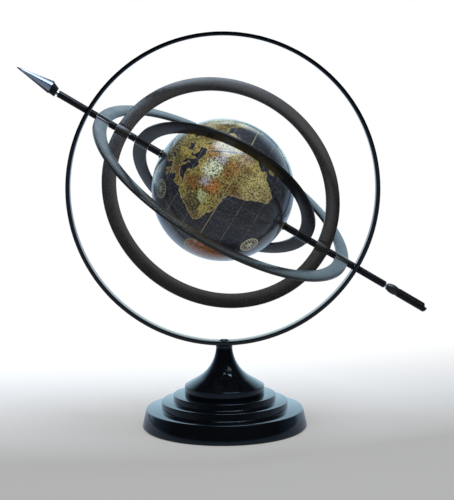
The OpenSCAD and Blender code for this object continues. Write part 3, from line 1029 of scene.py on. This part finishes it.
# %% Coasts
LANDS = [
    # Africa and Madagascar
    [(-6, 36), (-2, 35), (3, 37), (10, 37), (11, 34), (15, 32), (20, 31), (20, 33), (25, 32),
     (29, 31), (34, 31), (33, 28), (35, 24), (37, 21), (38, 18), (40, 15), (43, 12), (45, 11),
     (51, 12), (50, 8), (47, 4), (42, -1), (40, -4), (39, -7), (41, -12), (40, -16), (36, -18),
     (35, -24), (33, -26), (32, -29), (29, -33), (26, -36), (20, -35), (18, -31), (16, -24),
     (14, -16), (12, -9), (10, -1), (9, 4), (8, 8), (5, 9), (3, 10), (-1, 10), (-4, 11), (-7, 11),
     (-10, 12), (-14, 14), (-18, 15), (-22, 16), (-24, 18), (-23, 20), (-21, 23), (-19, 25),
     (-17, 28), (-15, 31), (-12, 34)],
    [(49, -12), (50, -16), (48, -21), (47, -25), (44, -25), (43, -22), (44, -17), (47, -15)],
    # Europe and Asia, from Iberia round by the north, the east and the south
    [(-9, 37), (-9, 43), (-2, 43), (-1, 46), (-4, 48), (-2, 49), (1, 50), (4, 52), (8, 54), (8, 57),
     (10, 58), (10, 55), (13, 54), (19, 54), (21, 56), (24, 57), (24, 59), (29, 60), (22, 60),
     (21, 63), (25, 65), (22, 66), (17, 62), (19, 60), (16, 57), (13, 55), (11, 59), (7, 58),
     (5, 61), (11, 65), (16, 69), (25, 71), (31, 70), (41, 67), (40, 66), (33, 66), (37, 64),
     (44, 66), (44, 68), (54, 69), (68, 69), (73, 73), (80, 73), (87, 75), (104, 78), (113, 74),
     (127, 73), (140, 73), (152, 71), (170, 70), (180, 69), (190, 66), (187, 64), (179, 62),
     (170, 60), (163, 58), (162, 54), (157, 51), (156, 57), (163, 61), (156, 61), (143, 59),
     (135, 54), (141, 53), (140, 48), (132, 43), (128, 40), (129, 36), (126, 34), (126, 38),
     (121, 39), (118, 39), (122, 37), (120, 35), (122, 31), (121, 28), (117, 24), (110, 21),
     (108, 21), (106, 18), (109, 14), (107, 10), (105, 9), (102, 13), (100, 13), (100, 9), (103, 5),
     (104, 1), (101, 3), (98, 8), (98, 14), (95, 16), (92, 21), (89, 22), (86, 20), (80, 16),
     (80, 12), (77, 8), (75, 12), (73, 17), (72, 21), (69, 22), (67, 25), (61, 25), (57, 26),
     (54, 27), (50, 30), (48, 30), (50, 27), (51, 24), (54, 24), (56, 26), (57, 24), (60, 22),
     (58, 20), (55, 17), (52, 16), (45, 13), (43, 13), (42, 16), (39, 21), (35, 28), (34, 31),
     (36, 35), (36, 37), (31, 36), (28, 37), (26, 39), (27, 41), (24, 41), (23, 39), (24, 38),
     (23, 36), (21, 38), (19, 41), (19, 43), (14, 45), (12, 45), (14, 42), (18, 40), (16, 38),
     (16, 40), (12, 42), (9, 44), (5, 43), (3, 42), (0, 40), (0, 38), (-2, 37), (-5, 36)],
    # Islands round Europe and the Arctic
    [(-5, 50), (1, 51), (2, 53), (-1, 55), (-2, 57), (-4, 58), (-6, 57), (-4, 55), (-3, 53),
     (-5, 52), (-3, 51)],
    [(-6, 52), (-6, 55), (-9, 55), (-10, 52)],
    [(-22, 64), (-18, 63), (-14, 65), (-16, 66), (-22, 66), (-24, 65)],
    [(12, 79), (20, 77), (26, 79), (20, 80)],
    [(52, 71), (58, 71), (68, 76), (62, 76), (55, 74)],
    # Islands from Japan to New Guinea
    [(130, 32), (135, 34), (140, 35), (142, 39), (141, 41), (145, 43), (142, 45), (140, 42),
     (139, 38), (133, 35)],
    [(95, 6), (104, -3), (106, -6), (102, -4), (98, 1)],
    [(109, 1), (113, 3), (117, 7), (119, 5), (117, 0), (115, -4), (110, -3)],
    [(105, -7), (114, -7), (114, -9), (107, -8)],
    [(119, -5), (120, 1), (125, 1), (121, 0), (123, -5), (121, -3)],
    [(120, 18), (122, 18), (124, 13), (126, 8), (125, 6), (122, 8), (120, 14)],
    [(131, -1), (138, -2), (147, -6), (150, -10), (143, -8), (138, -8), (133, -4)],
    [(80, 9), (82, 7), (80, 6)],
    # Australia, Tasmania and New Zealand
    [(114, -22), (114, -26), (116, -32), (116, -35), (123, -34), (129, -32), (135, -34), (138, -35),
     (141, -38), (146, -39), (150, -37), (153, -32), (153, -26), (149, -21), (146, -19), (145, -15),
     (143, -11), (141, -13), (141, -17), (138, -17), (135, -15), (137, -12), (132, -11), (130, -13),
     (126, -14), (122, -18)],
    [(145, -41), (148, -41), (148, -43), (146, -44)],
    [(173, -35), (178, -38), (175, -42), (174, -39)],
    [(173, -41), (174, -42), (171, -46), (167, -46)],
    # North America and its islands
    [(-166, 68), (-156, 71), (-140, 70), (-128, 70), (-115, 68), (-95, 68), (-90, 69), (-82, 68),
     (-87, 64), (-94, 61), (-94, 58), (-88, 57), (-82, 55), (-80, 51), (-79, 54), (-77, 57),
     (-78, 62), (-70, 61), (-65, 59), (-60, 56), (-56, 52), (-60, 50), (-66, 50), (-65, 48),
     (-61, 46), (-66, 44), (-70, 43), (-70, 41), (-74, 40), (-76, 37), (-76, 35), (-81, 31),
     (-80, 26), (-82, 28), (-84, 30), (-90, 29), (-97, 28), (-98, 22), (-95, 18), (-91, 19),
     (-90, 21), (-87, 21), (-88, 16), (-83, 15), (-84, 11), (-81, 9), (-77, 8), (-80, 7), (-84, 9),
     (-88, 13), (-94, 16), (-102, 18), (-106, 22), (-113, 31), (-114, 31), (-110, 23), (-115, 29),
     (-117, 33), (-121, 35), (-124, 40), (-124, 47), (-130, 54), (-139, 59), (-148, 60), (-153, 58),
     (-160, 55), (-164, 54), (-158, 58), (-165, 61), (-161, 64), (-167, 65)],
    [(-73, 78), (-60, 82), (-35, 83), (-18, 80), (-20, 74), (-24, 70), (-38, 66), (-43, 60),
     (-52, 64), (-54, 70), (-60, 76)],
    [(-80, 73), (-70, 70), (-62, 66), (-66, 62), (-73, 65), (-78, 69), (-88, 71)],
    [(-116, 72), (-105, 73), (-102, 69), (-115, 69)],
    [(-85, 77), (-75, 79), (-65, 82), (-85, 82), (-92, 80)],
    [(-85, 22), (-80, 23), (-74, 20), (-78, 20)],
    [(-74, 20), (-69, 20), (-69, 18), (-74, 18)],
    [(-59, 48), (-53, 47), (-56, 51)],
    # South America and the southern land
    [(-77, 8), (-72, 12), (-62, 14), (-54, 15), (-47, 15), (-42, 12), (-38, 8), (-36, 3), (-35, -3),
     (-35, -9), (-37, -13), (-39, -18), (-42, -23), (-47, -26), (-49, -29), (-53, -34), (-57, -35),
     (-57, -38), (-62, -39), (-65, -42), (-67, -46), (-66, -48), (-69, -51), (-68, -55), (-74, -52),
     (-75, -47), (-73, -42), (-73, -37), (-71, -30), (-70, -20), (-76, -14), (-81, -6), (-80, -2),
     (-79, 1)],
    [(-180, -78), (-150, -77), (-125, -73), (-100, -73), (-75, -72), (-65, -66), (-58, -63),
     (-62, -70), (-60, -76), (-40, -78), (-20, -72), (0, -70), (30, -69), (55, -66), (80, -68),
     (100, -66), (130, -66), (160, -70), (165, -78), (180, -78), (180, -90), (-180, -90)],
]
# Inland seas: Black, Caspian, and the lakes of North America
WATERS = [
    [(28, 42), (29, 45), (31, 47), (34, 45), (39, 47), (38, 45), (41, 42), (36, 42), (31, 41)],
    [(47, 45), (51, 47), (53, 45), (51, 43), (54, 40), (54, 37), (50, 37), (49, 41)],
    [(-92, 47), (-85, 47), (-80, 43), (-83, 42), (-87, 42)],
]
print(len(LANDS), "lands from", sum(map(len, LANDS)), "coast points")

# %% [markdown]
# Early mapmakers drew Africa too broad and its Guinea coast too far south. The list above already
# has the broad Africa, and the coasts near the equator are moved south before they are used, which
# gives the map its old proportions.

# %% Coast distance
GLOBE_R = 63.5
MM_PER_DEGREE = GLOBE_R * math.pi / 180
SOUTHING, SOUTHING_MID, SOUTHING_SPREAD = 12, 2, 22


def old_proportions(lon, lat):
    """Moves coasts near the equator south, by up to a dozen degrees."""
    pull = np.exp(-(((lat - SOUTHING_MID) / SOUTHING_SPREAD) ** 2))
    return lon, lat - SOUTHING * pull


def inside_distance(lon, lat, outline):
    """Signed distance in mm from a closed outline, above zero inside it, on the globe's skin."""
    x, y = old_proportions(*np.array(outline, float).T)
    squeeze = np.cos(np.radians(lat))
    nearest = np.full(len(lon), 1e9)
    inside = np.zeros(len(lon), bool)
    for x0, y0, x1, y1 in zip(x, y, np.roll(x, -1), np.roll(y, -1)):
        dx, dy = (x1 - x0) * squeeze, y1 - y0
        px, py = (lon - x0) * squeeze, lat - y0
        t = np.clip((px * dx + py * dy) / np.maximum(dx * dx + dy * dy, 1e-9), 0, 1)
        nearest = np.minimum(nearest, np.hypot(px - t * dx, py - t * dy))
        if y0 != y1:
            crosses = (y0 > lat) != (y1 > lat)
            inside ^= crosses & (lon < x0 + (lat - y0) * (x1 - x0) / (y1 - y0))
    return np.where(inside, nearest, -nearest) * MM_PER_DEGREE


def coast_distance(lon, lat):
    """Signed distance in mm from the nearest coast, above zero on land."""
    land = np.full(len(lon), -1e9)
    for outline in LANDS:
        land = np.maximum(land, inside_distance(lon, lat, outline))
        if max(x for x, _ in outline) > 180:
            land = np.maximum(land, inside_distance(lon + 360, lat, outline))
    for outline in WATERS:
        land = np.minimum(land, -inside_distance(lon, lat, outline))
    return land


sample = coast_distance(np.array([20.0, -30.0]), np.array([15.0, 0.0]))
print("mid Africa and mid Atlantic, in mm from a coast:", sample.round(1))

# %% [markdown]
# ## Printed and varnished paper
# Seen close, the print is gold and olive ink on a black sea, spotted and darkened with age, under a
# thick gloss varnish. From the stored distance come the land and its coast line. Soft tints stand
# for the hand colouring of an old map, and two of them also paint in the varnish's highlight.
# Noises give the spotted ink and the flecks, and the position on the ball gives the equator and
# the parallels.

# %% Globe print: coordinates
PRIME = math.radians(5)
GLOBE = ARROW.to_3x3() @ Matrix.Rotation(-math.pi / 2, 3, "Z")
paper_print, tree = new_material("varnished_map_print")
place = add(tree, "TexCoord", {}).outputs["Object"]
# On the unit ball: X towards the middle meridian, Z towards the north pole
ball = add(
    tree,
    "Mapping",
    {
        "Vector": place,
        "Location": GLOBE_CENTRE,
        "Rotation": GLOBE.to_euler("XYZ"),
        "Scale": (GLOBE_R * MM,) * 3,
    },
    vector_type="TEXTURE",
).outputs[0]
axes = add(tree, "SeparateXYZ", {"Vector": ball}).outputs
lon = add(tree, "Math", {0: axes["Y"], 1: axes["X"]}, operation="ARCTAN2").outputs[0]
lat = add(tree, "Math", {0: axes["Z"]}, operation="ARCSINE").outputs[0]


def on_ball(lat_deg, lon_deg):
    """The directions to a place on the map, and to east and north there, on the unit ball."""
    rise, swing = math.radians(lat_deg), math.radians(lon_deg) - PRIME
    middle = (math.cos(rise) * math.cos(swing), math.cos(rise) * math.sin(swing), math.sin(rise))
    east = (-math.sin(swing), math.cos(swing), 0)
    north = (-math.sin(rise) * math.cos(swing), -math.sin(rise) * math.sin(swing), math.cos(rise))
    return middle, east, north


print("middle meridian faces", [round(x, 2) for x in GLOBE.col[0]])

# %% Globe print: land and sea
coast = add(tree, "Attribute", {}, attribute_name="coast_mm").outputs["Fac"]
ragged = add(
    tree, "TexNoise", {"Vector": place, "Scale": 1 / (3.5 * MM), "Detail": 4, "Roughness": 0.6}
)
fray = add(tree, "MapRange", {"Value": ragged.outputs["Fac"], "To Min": -1.8, "To Max": 1.8})
shore = add(tree, "Math", {0: coast, 1: fray.outputs["Result"]}, operation="ADD").outputs[0]
on_land = add(
    tree, "MapRange", {"Value": shore, "From Min": -0.1, "From Max": 0.25}
).outputs["Result"]
# The coast line is a pale stroke about 0.6 mm wide
from_line = add(tree, "Math", {0: shore, 1: 0.15}, operation="SUBTRACT")
off_line = add(tree, "Math", {0: from_line.outputs[0]}, operation="ABSOLUTE")
coast_line = add(
    tree, "MapRange", {"Value": off_line.outputs[0], "From Min": 0.5, "From Max": 0.2}
).outputs["Result"]

# Countries: patches about 10 mm across with frayed borders, each in its own mix of olive and gold,
# one in four of them brown
wander = add(
    tree, "TexNoise", {"Vector": place, "Scale": 1 / (7 * MM), "Detail": 4, "Roughness": 0.65}
)
centred = add(
    tree, "VectorMath", {0: wander.outputs["Color"], 1: (0.5, 0.5, 0.5)}, operation="SUBTRACT"
)
WANDER = 14 / GLOBE_R
strayed = add(
    tree, "VectorMath", {0: centred.outputs[0], 1: (WANDER,) * 3, 2: ball}, operation="MULTIPLY_ADD"
).outputs[0]
countries = add(tree, "TexVoronoi", {"Vector": strayed, "Scale": GLOBE_R / 10})
chance = add(tree, "SeparateColor", {"Color": countries.outputs["Color"]})
land_ink = add(
    tree,
    "Mix",
    {FACTOR: chance.outputs["Red"], MIX_A: colour("3c3518"), MIX_B: colour("a8944c")},
    data_type="RGBA",
).outputs[MIXED]
brown = add(
    tree, "MapRange", {"Value": chance.outputs["Green"], "From Min": 0.74, "From Max": 0.76}
)
land_ink = add(
    tree,
    "Mix",
    {FACTOR: brown.outputs["Result"], MIX_A: land_ink, MIX_B: colour("70502c")},
    data_type="RGBA",
).outputs[MIXED]
# The tints: latitude, longitude, radius in mm and ink
TINTS = [
    (66, 30, 15, "1e1a0e"), (19, -11, 9, "1e1a0a"), (-20, 23, 14, "c2b478"), (-31, 26, 9, "b0a068"),
    (-4, 24, 7, "948858"), (5, 25, 8, "946430"), (25, 33, 8, "93602c"), (10, 8, 6.5, "a85e20"),
    # The near-white tint and the lilac one after it lie under the varnish's highlight: hand
    # colouring that is partly a painted highlight
    (27, 2, 6, "7a5028"), (18, 21, 8, "e0ecc8"), (15, 31, 6, "a8a6ae"), (18, 9, 5, "a49ca8"),
    (14, -4, 5, "b4be88"), (6, -14, 6, "a89c50"), (28, 80, 9, "c4c0a6"), (37, 70, 8, "a39a78"),
    (-13, -47, 19, "a8481a"), (55, 90, 9, "6e4a2a"), (35, 105, 7, "a3b282"), (62, 130, 8, "a85a24"),
    (45, -100, 8, "a3b282"), (55, -115, 9, "86562e"), (35, -95, 5, "8f8792"),
    (-25, 135, 8, "a85a24"), (-30, 122, 5, "a3b282"),
]
for tint_lat, tint_lon, reach, ink in TINTS:
    middle = on_ball(tint_lat, tint_lon)[0]
    near = add(tree, "VectorMath", {0: strayed, 1: middle}, operation="DISTANCE")
    wash = add(
        tree,
        "MapRange",
        {
            "Value": near.outputs["Value"],
            "From Min": 1.25 * reach / GLOBE_R,
            "From Max": 0.7 * reach / GLOBE_R,
            "To Max": 0.85,
        },
    )
    land_ink = add(
        tree,
        "Mix",
        {FACTOR: wash.outputs["Result"], MIX_A: land_ink, MIX_B: colour(ink)},
        data_type="RGBA",
    ).outputs[MIXED]
print(len(TINTS), "tints")

# %% Globe print: ageing and flecks
# Worn ink: fine mottling of about 1.5 mm
spots = add(
    tree, "TexNoise", {"Vector": place, "Scale": 1 / (1.5 * MM), "Detail": 3, "Roughness": 0.6}
)
worn = add(tree, "MapRange", {"Value": spots.outputs["Fac"], "From Min": 0.38, "From Max": 0.58})
land_ink = add(
    tree,
    "Mix",
    {FACTOR: worn.outputs["Result"], MIX_A: colour("1f1a0c"), MIX_B: land_ink},
    data_type="RGBA",
).outputs[MIXED]
# Gold flecks of about 1 mm: the print's fine strokes are drawn this coarse so that they show
FLECK = 1.1 * MM
flecks = add(tree, "TexNoise", {"Vector": place, "Scale": 1 / FLECK, "Detail": 2, "Roughness": 0.7})
fleck = add(
    tree,
    "MapRange",
    {"Value": flecks.outputs["Fac"], "From Min": 0.55, "From Max": 0.68, "To Max": 0.7},
).outputs["Result"]
land_ink = add(
    tree, "Mix", {FACTOR: fleck, MIX_A: land_ink, MIX_B: colour("d2bc68")}, data_type="RGBA"
).outputs[MIXED]
print("flecks of", FLECK / MM, "mm")

# %% Globe print: sea and lines
swell = add(
    tree, "TexNoise", {"Vector": place, "Scale": 1 / (7 * MM), "Detail": 6, "Roughness": 0.7}
)
depths = add(tree, "MapRange", {"Value": swell.outputs["Fac"], "From Min": 0.35, "From Max": 0.65})
sea_ink = add(
    tree,
    "Mix",
    {FACTOR: depths.outputs["Result"], MIX_A: colour("06060d"), MIX_B: colour("1b1c29")},
    data_type="RGBA",
).outputs[MIXED]
faint = add(tree, "Math", {0: fleck, 1: 0.35}, operation="MULTIPLY")
sea_ink = add(
    tree,
    "Mix",
    {FACTOR: faint.outputs[0], MIX_A: sea_ink, MIX_B: colour("9a9a98")},
    data_type="RGBA",
).outputs[MIXED]
# Parallels and meridians are rubbed thin in places. PINGPONG over half a step is zero at each step
STEP, LINE = math.radians(16.5), 0.5 / GLOBE_R
shrink = add(tree, "Math", {0: lat}, operation="COSINE").outputs[0]
for angle, measure, strength in ((lat, 1.0, 0.6), (lon, shrink, 0.22)):
    off_angle = add(tree, "Math", {0: angle, 1: STEP / 2}, operation="PINGPONG")
    off_skin = add(tree, "Math", {0: off_angle.outputs[0], 1: measure}, operation="MULTIPLY")
    line = add(
        tree,
        "MapRange",
        {
            "Value": off_skin.outputs[0],
            "From Min": 0.8 * LINE,
            "From Max": 0.3 * LINE,
            "To Max": strength,
        },
    )
    rubbed = add(
        tree, "Math", {0: line.outputs["Result"], 1: depths.outputs["Result"]}, operation="MULTIPLY"
    )
    sea_ink = add(
        tree,
        "Mix",
        {FACTOR: rubbed.outputs[0], MIX_A: sea_ink, MIX_B: colour("8f8a7c")},
        data_type="RGBA",
    ).outputs[MIXED]
off_equator = add(tree, "Math", {0: lat}, operation="ABSOLUTE")
equator = add(
    tree,
    "MapRange",
    {
        "Value": off_equator.outputs[0],
        "From Min": 0.8 * LINE,
        "From Max": 0.35 * LINE,
        "To Max": 0.55,
    },
).outputs["Result"]
print("lines every", round(math.degrees(STEP), 1), "degrees")

# %% [markdown]
# Old sea charts fill empty oceans with compass roses. Each rose here is two rings, a band of ticks
# and an eight-pointed star, drawn from the distance and the bearing to its middle.

# %% Globe print: compass roses
# Latitude, longitude and how strongly each rose is printed
ROSES = [(-42, -30, 1), (50, -31, 0.3), (-28, 84, 0.7), (-8, -132, 0.7), (30, -168, 0.7)]
ROSE_R = 8.3 / GLOBE_R
for rose_lat, rose_lon, strength in ROSES:
    middle, east, north = on_ball(rose_lat, rose_lon)
    across = add(tree, "VectorMath", {0: ball, 1: east}, operation="DOT_PRODUCT").outputs["Value"]
    up = add(tree, "VectorMath", {0: ball, 1: north}, operation="DOT_PRODUCT").outputs["Value"]
    near = add(tree, "VectorMath", {0: ball, 1: middle}, operation="DISTANCE").outputs["Value"]
    away = add(tree, "Math", {0: near, 1: ROSE_R}, operation="DIVIDE").outputs[0]
    bearing = add(tree, "Math", {0: up, 1: across}, operation="ARCTAN2").outputs[0]
    # The star's edge swings between its eight points and the hollows between them
    swing = add(tree, "Math", {0: bearing, 1: math.pi / 8}, operation="PINGPONG").outputs[0]
    edge = add(
        tree, "MapRange", {"Value": swing, "From Max": math.pi / 8, "To Min": 0.62, "To Max": 0.16}
    ).outputs["Result"]
    star = add(tree, "Math", {0: away, 1: edge}, operation="LESS_THAN").outputs[0]
    tick_swing = add(tree, "Math", {0: bearing, 1: math.pi / 16}, operation="PINGPONG").outputs[0]
    tick = add(tree, "Math", {0: tick_swing, 1: 0.07}, operation="LESS_THAN").outputs[0]
    band = add(tree, "Math", {0: away, 1: 0.79, 2: 0.09}, operation="COMPARE").outputs[0]
    ticks = add(tree, "Math", {0: tick, 1: band}, operation="MULTIPLY").outputs[0]
    marks = add(tree, "Math", {0: star, 1: ticks}, operation="MAXIMUM").outputs[0]
    for ring_r, ring_half in ((0.95, 0.06), (0.68, 0.03)):
        ring_line = add(
            tree, "Math", {0: away, 1: ring_r, 2: ring_half}, operation="COMPARE"
        ).outputs[0]
        marks = add(tree, "Math", {0: marks, 1: ring_line}, operation="MAXIMUM").outputs[0]
    disc = add(tree, "Math", {0: away, 1: 1.0}, operation="LESS_THAN").outputs[0]
    sea_ink = add(
        tree, "Mix", {FACTOR: disc, MIX_A: sea_ink, MIX_B: colour("15140f")}, data_type="RGBA"
    ).outputs[MIXED]
    printed = add(tree, "Math", {0: marks, 1: strength}, operation="MULTIPLY").outputs[0]
    sea_ink = add(
        tree, "Mix", {FACTOR: printed, MIX_A: sea_ink, MIX_B: colour("d2cbae")}, data_type="RGBA"
    ).outputs[MIXED]
print(len(ROSES), "roses")

# %% Globe print: varnish
ink = add(
    tree, "Mix", {FACTOR: on_land, MIX_A: sea_ink, MIX_B: land_ink}, data_type="RGBA"
).outputs[MIXED]
pale = add(tree, "Math", {0: coast_line, 1: 0.4}, operation="MULTIPLY")
pale = add(tree, "Math", {0: pale.outputs[0], 1: equator}, operation="MAXIMUM")
ink = add(
    tree, "Mix", {FACTOR: pale.outputs[0], MIX_A: ink, MIX_B: colour("b8ab78")}, data_type="RGBA"
).outputs[MIXED]
wave = add(tree, "TexNoise", {"Vector": place, "Scale": 1 / (6 * MM), "Detail": 2})
ripple = add(tree, "Bump", {"Height": wave.outputs["Fac"], "Strength": 0.5, "Distance": 0.02 * MM})
varnish = add(
    tree,
    "BsdfPrincipled",
    {
        "Base Color": ink,
        "Roughness": 0.55,
        "Specular IOR Level": 0.2,
        "Coat Weight": 1,
        "Coat Roughness": 0.17,
        "Coat IOR": 1.55,
        "Normal": ripple.outputs["Normal"],
        "Coat Normal": ripple.outputs["Normal"],
    },
)
add(tree, "OutputMaterial", {"Surface": varnish.outputs[0]})
print("print of", len(tree.nodes), "nodes")

# %% [markdown]
# ## Globe
# The ball is two hollow half shells that meet at the equator, each with a hole at its pole for a
# bush. A UV sphere could be bisected, but the lathe makes the closed wall in one go: its section
# runs up the outside in fine steps, because the map is stored on these points, and down the inside
# in a few.

# %% Globe halves
GLOBE_WALL, POLE_R = 3, 4


def quarter(radius_mm, count):
    """Points of an arc from the equator to the rim of the pole hole."""
    rim = math.acos(POLE_R / radius_mm)
    return [(radius_mm * math.cos(a), radius_mm * math.sin(a)) for a in np.linspace(0, rim, count)]


def shell(name, node, matrix):
    """Turns half of the ball, stores the map on its points and hands it over."""
    outside = turn(name, quarter(GLOBE_R, 134) + quarter(GLOBE_R - GLOBE_WALL, 14)[::-1], steps=540)
    round_rims(outside, 0.15, segments=1)
    place_at(outside, matrix)
    corners = np.empty(len(outside.data.vertices) * 3, np.float32)
    outside.data.vertices.foreach_get("co", corners)
    local = (corners.reshape(-1, 3) - np.array(GLOBE_CENTRE)) @ np.array(GLOBE)
    local /= np.linalg.norm(local, axis=1)[:, None]
    lon_deg = np.degrees(np.arctan2(local[:, 1], local[:, 0]) + PRIME)
    lon_deg = (lon_deg + 180) % 360 - 180
    lat_deg = np.degrees(np.arcsin(np.clip(local[:, 2], -1, 1)))
    stored = outside.data.attributes.new("coast_mm", "FLOAT", "POINT")
    stored.data.foreach_set("value", coast_distance(lon_deg, lat_deg).astype(np.float32))
    hand_over(outside, node, "globe", paper_print)


shell("north_half_globe", "globe_north_shell", ARROW)
shell("south_half_globe", "globe_south_shell", TAILWARD)

# %% [markdown]
# ## Pole bushes
# A flanged bush in each pole hole carries the globe on the spindle. Both are the same, so one is
# turned and the other is a copy of it. They are brass, blackened with the rest of the ornament.

# %% Bushes
blackened_brass, tree = new_material("blackened_brass")
place = add(tree, "TexCoord", {}).outputs["Object"]
tarnish = add(tree, "TexNoise", {"Vector": place, "Scale": 1 / (1.5 * MM), "Detail": 5})
tone = add(
    tree,
    "Mix",
    {FACTOR: tarnish.outputs["Fac"], MIX_A: colour("100d0a"), MIX_B: colour("2a221a")},
    data_type="RGBA",
)
rough = add(tree, "MapRange", {"Value": tarnish.outputs["Fac"], "To Min": 0.3, "To Max": 0.6})
metal = add(
    tree,
    "BsdfPrincipled",
    {"Base Color": tone.outputs[MIXED], "Metallic": 1, "Roughness": rough.outputs["Result"]},
)
add(tree, "OutputMaterial", {"Surface": metal.outputs[0]})

FLANGE_R, FLANGE_T = 7, 1.5
FLANGE_TOP = math.sqrt((GLOBE_R - GLOBE_WALL) ** 2 - FLANGE_R**2)
bush = turn(
    "north_pole_bush",
    [
        (RUNNING_R, FLANGE_TOP - FLANGE_T), (FLANGE_R, FLANGE_TOP - FLANGE_T),
        (FLANGE_R, FLANGE_TOP), (POLE_R, FLANGE_TOP), (POLE_R, BUSH_END), (RUNNING_R, BUSH_END),
    ],
    steps=64,
)
round_rims(bush, 0.25)
south_bush = bush.copy()
south_bush.data = bush.data.copy()
south_bush.name = south_bush.data.name = "south_pole_bush"
scene.collection.objects.link(south_bush)
place_at(bush, ARROW)
place_at(south_bush, TAILWARD)
hand_over(bush, "north_bush", "globe", blackened_brass)
hand_over(south_bush, "south_bush", "globe", blackened_brass)
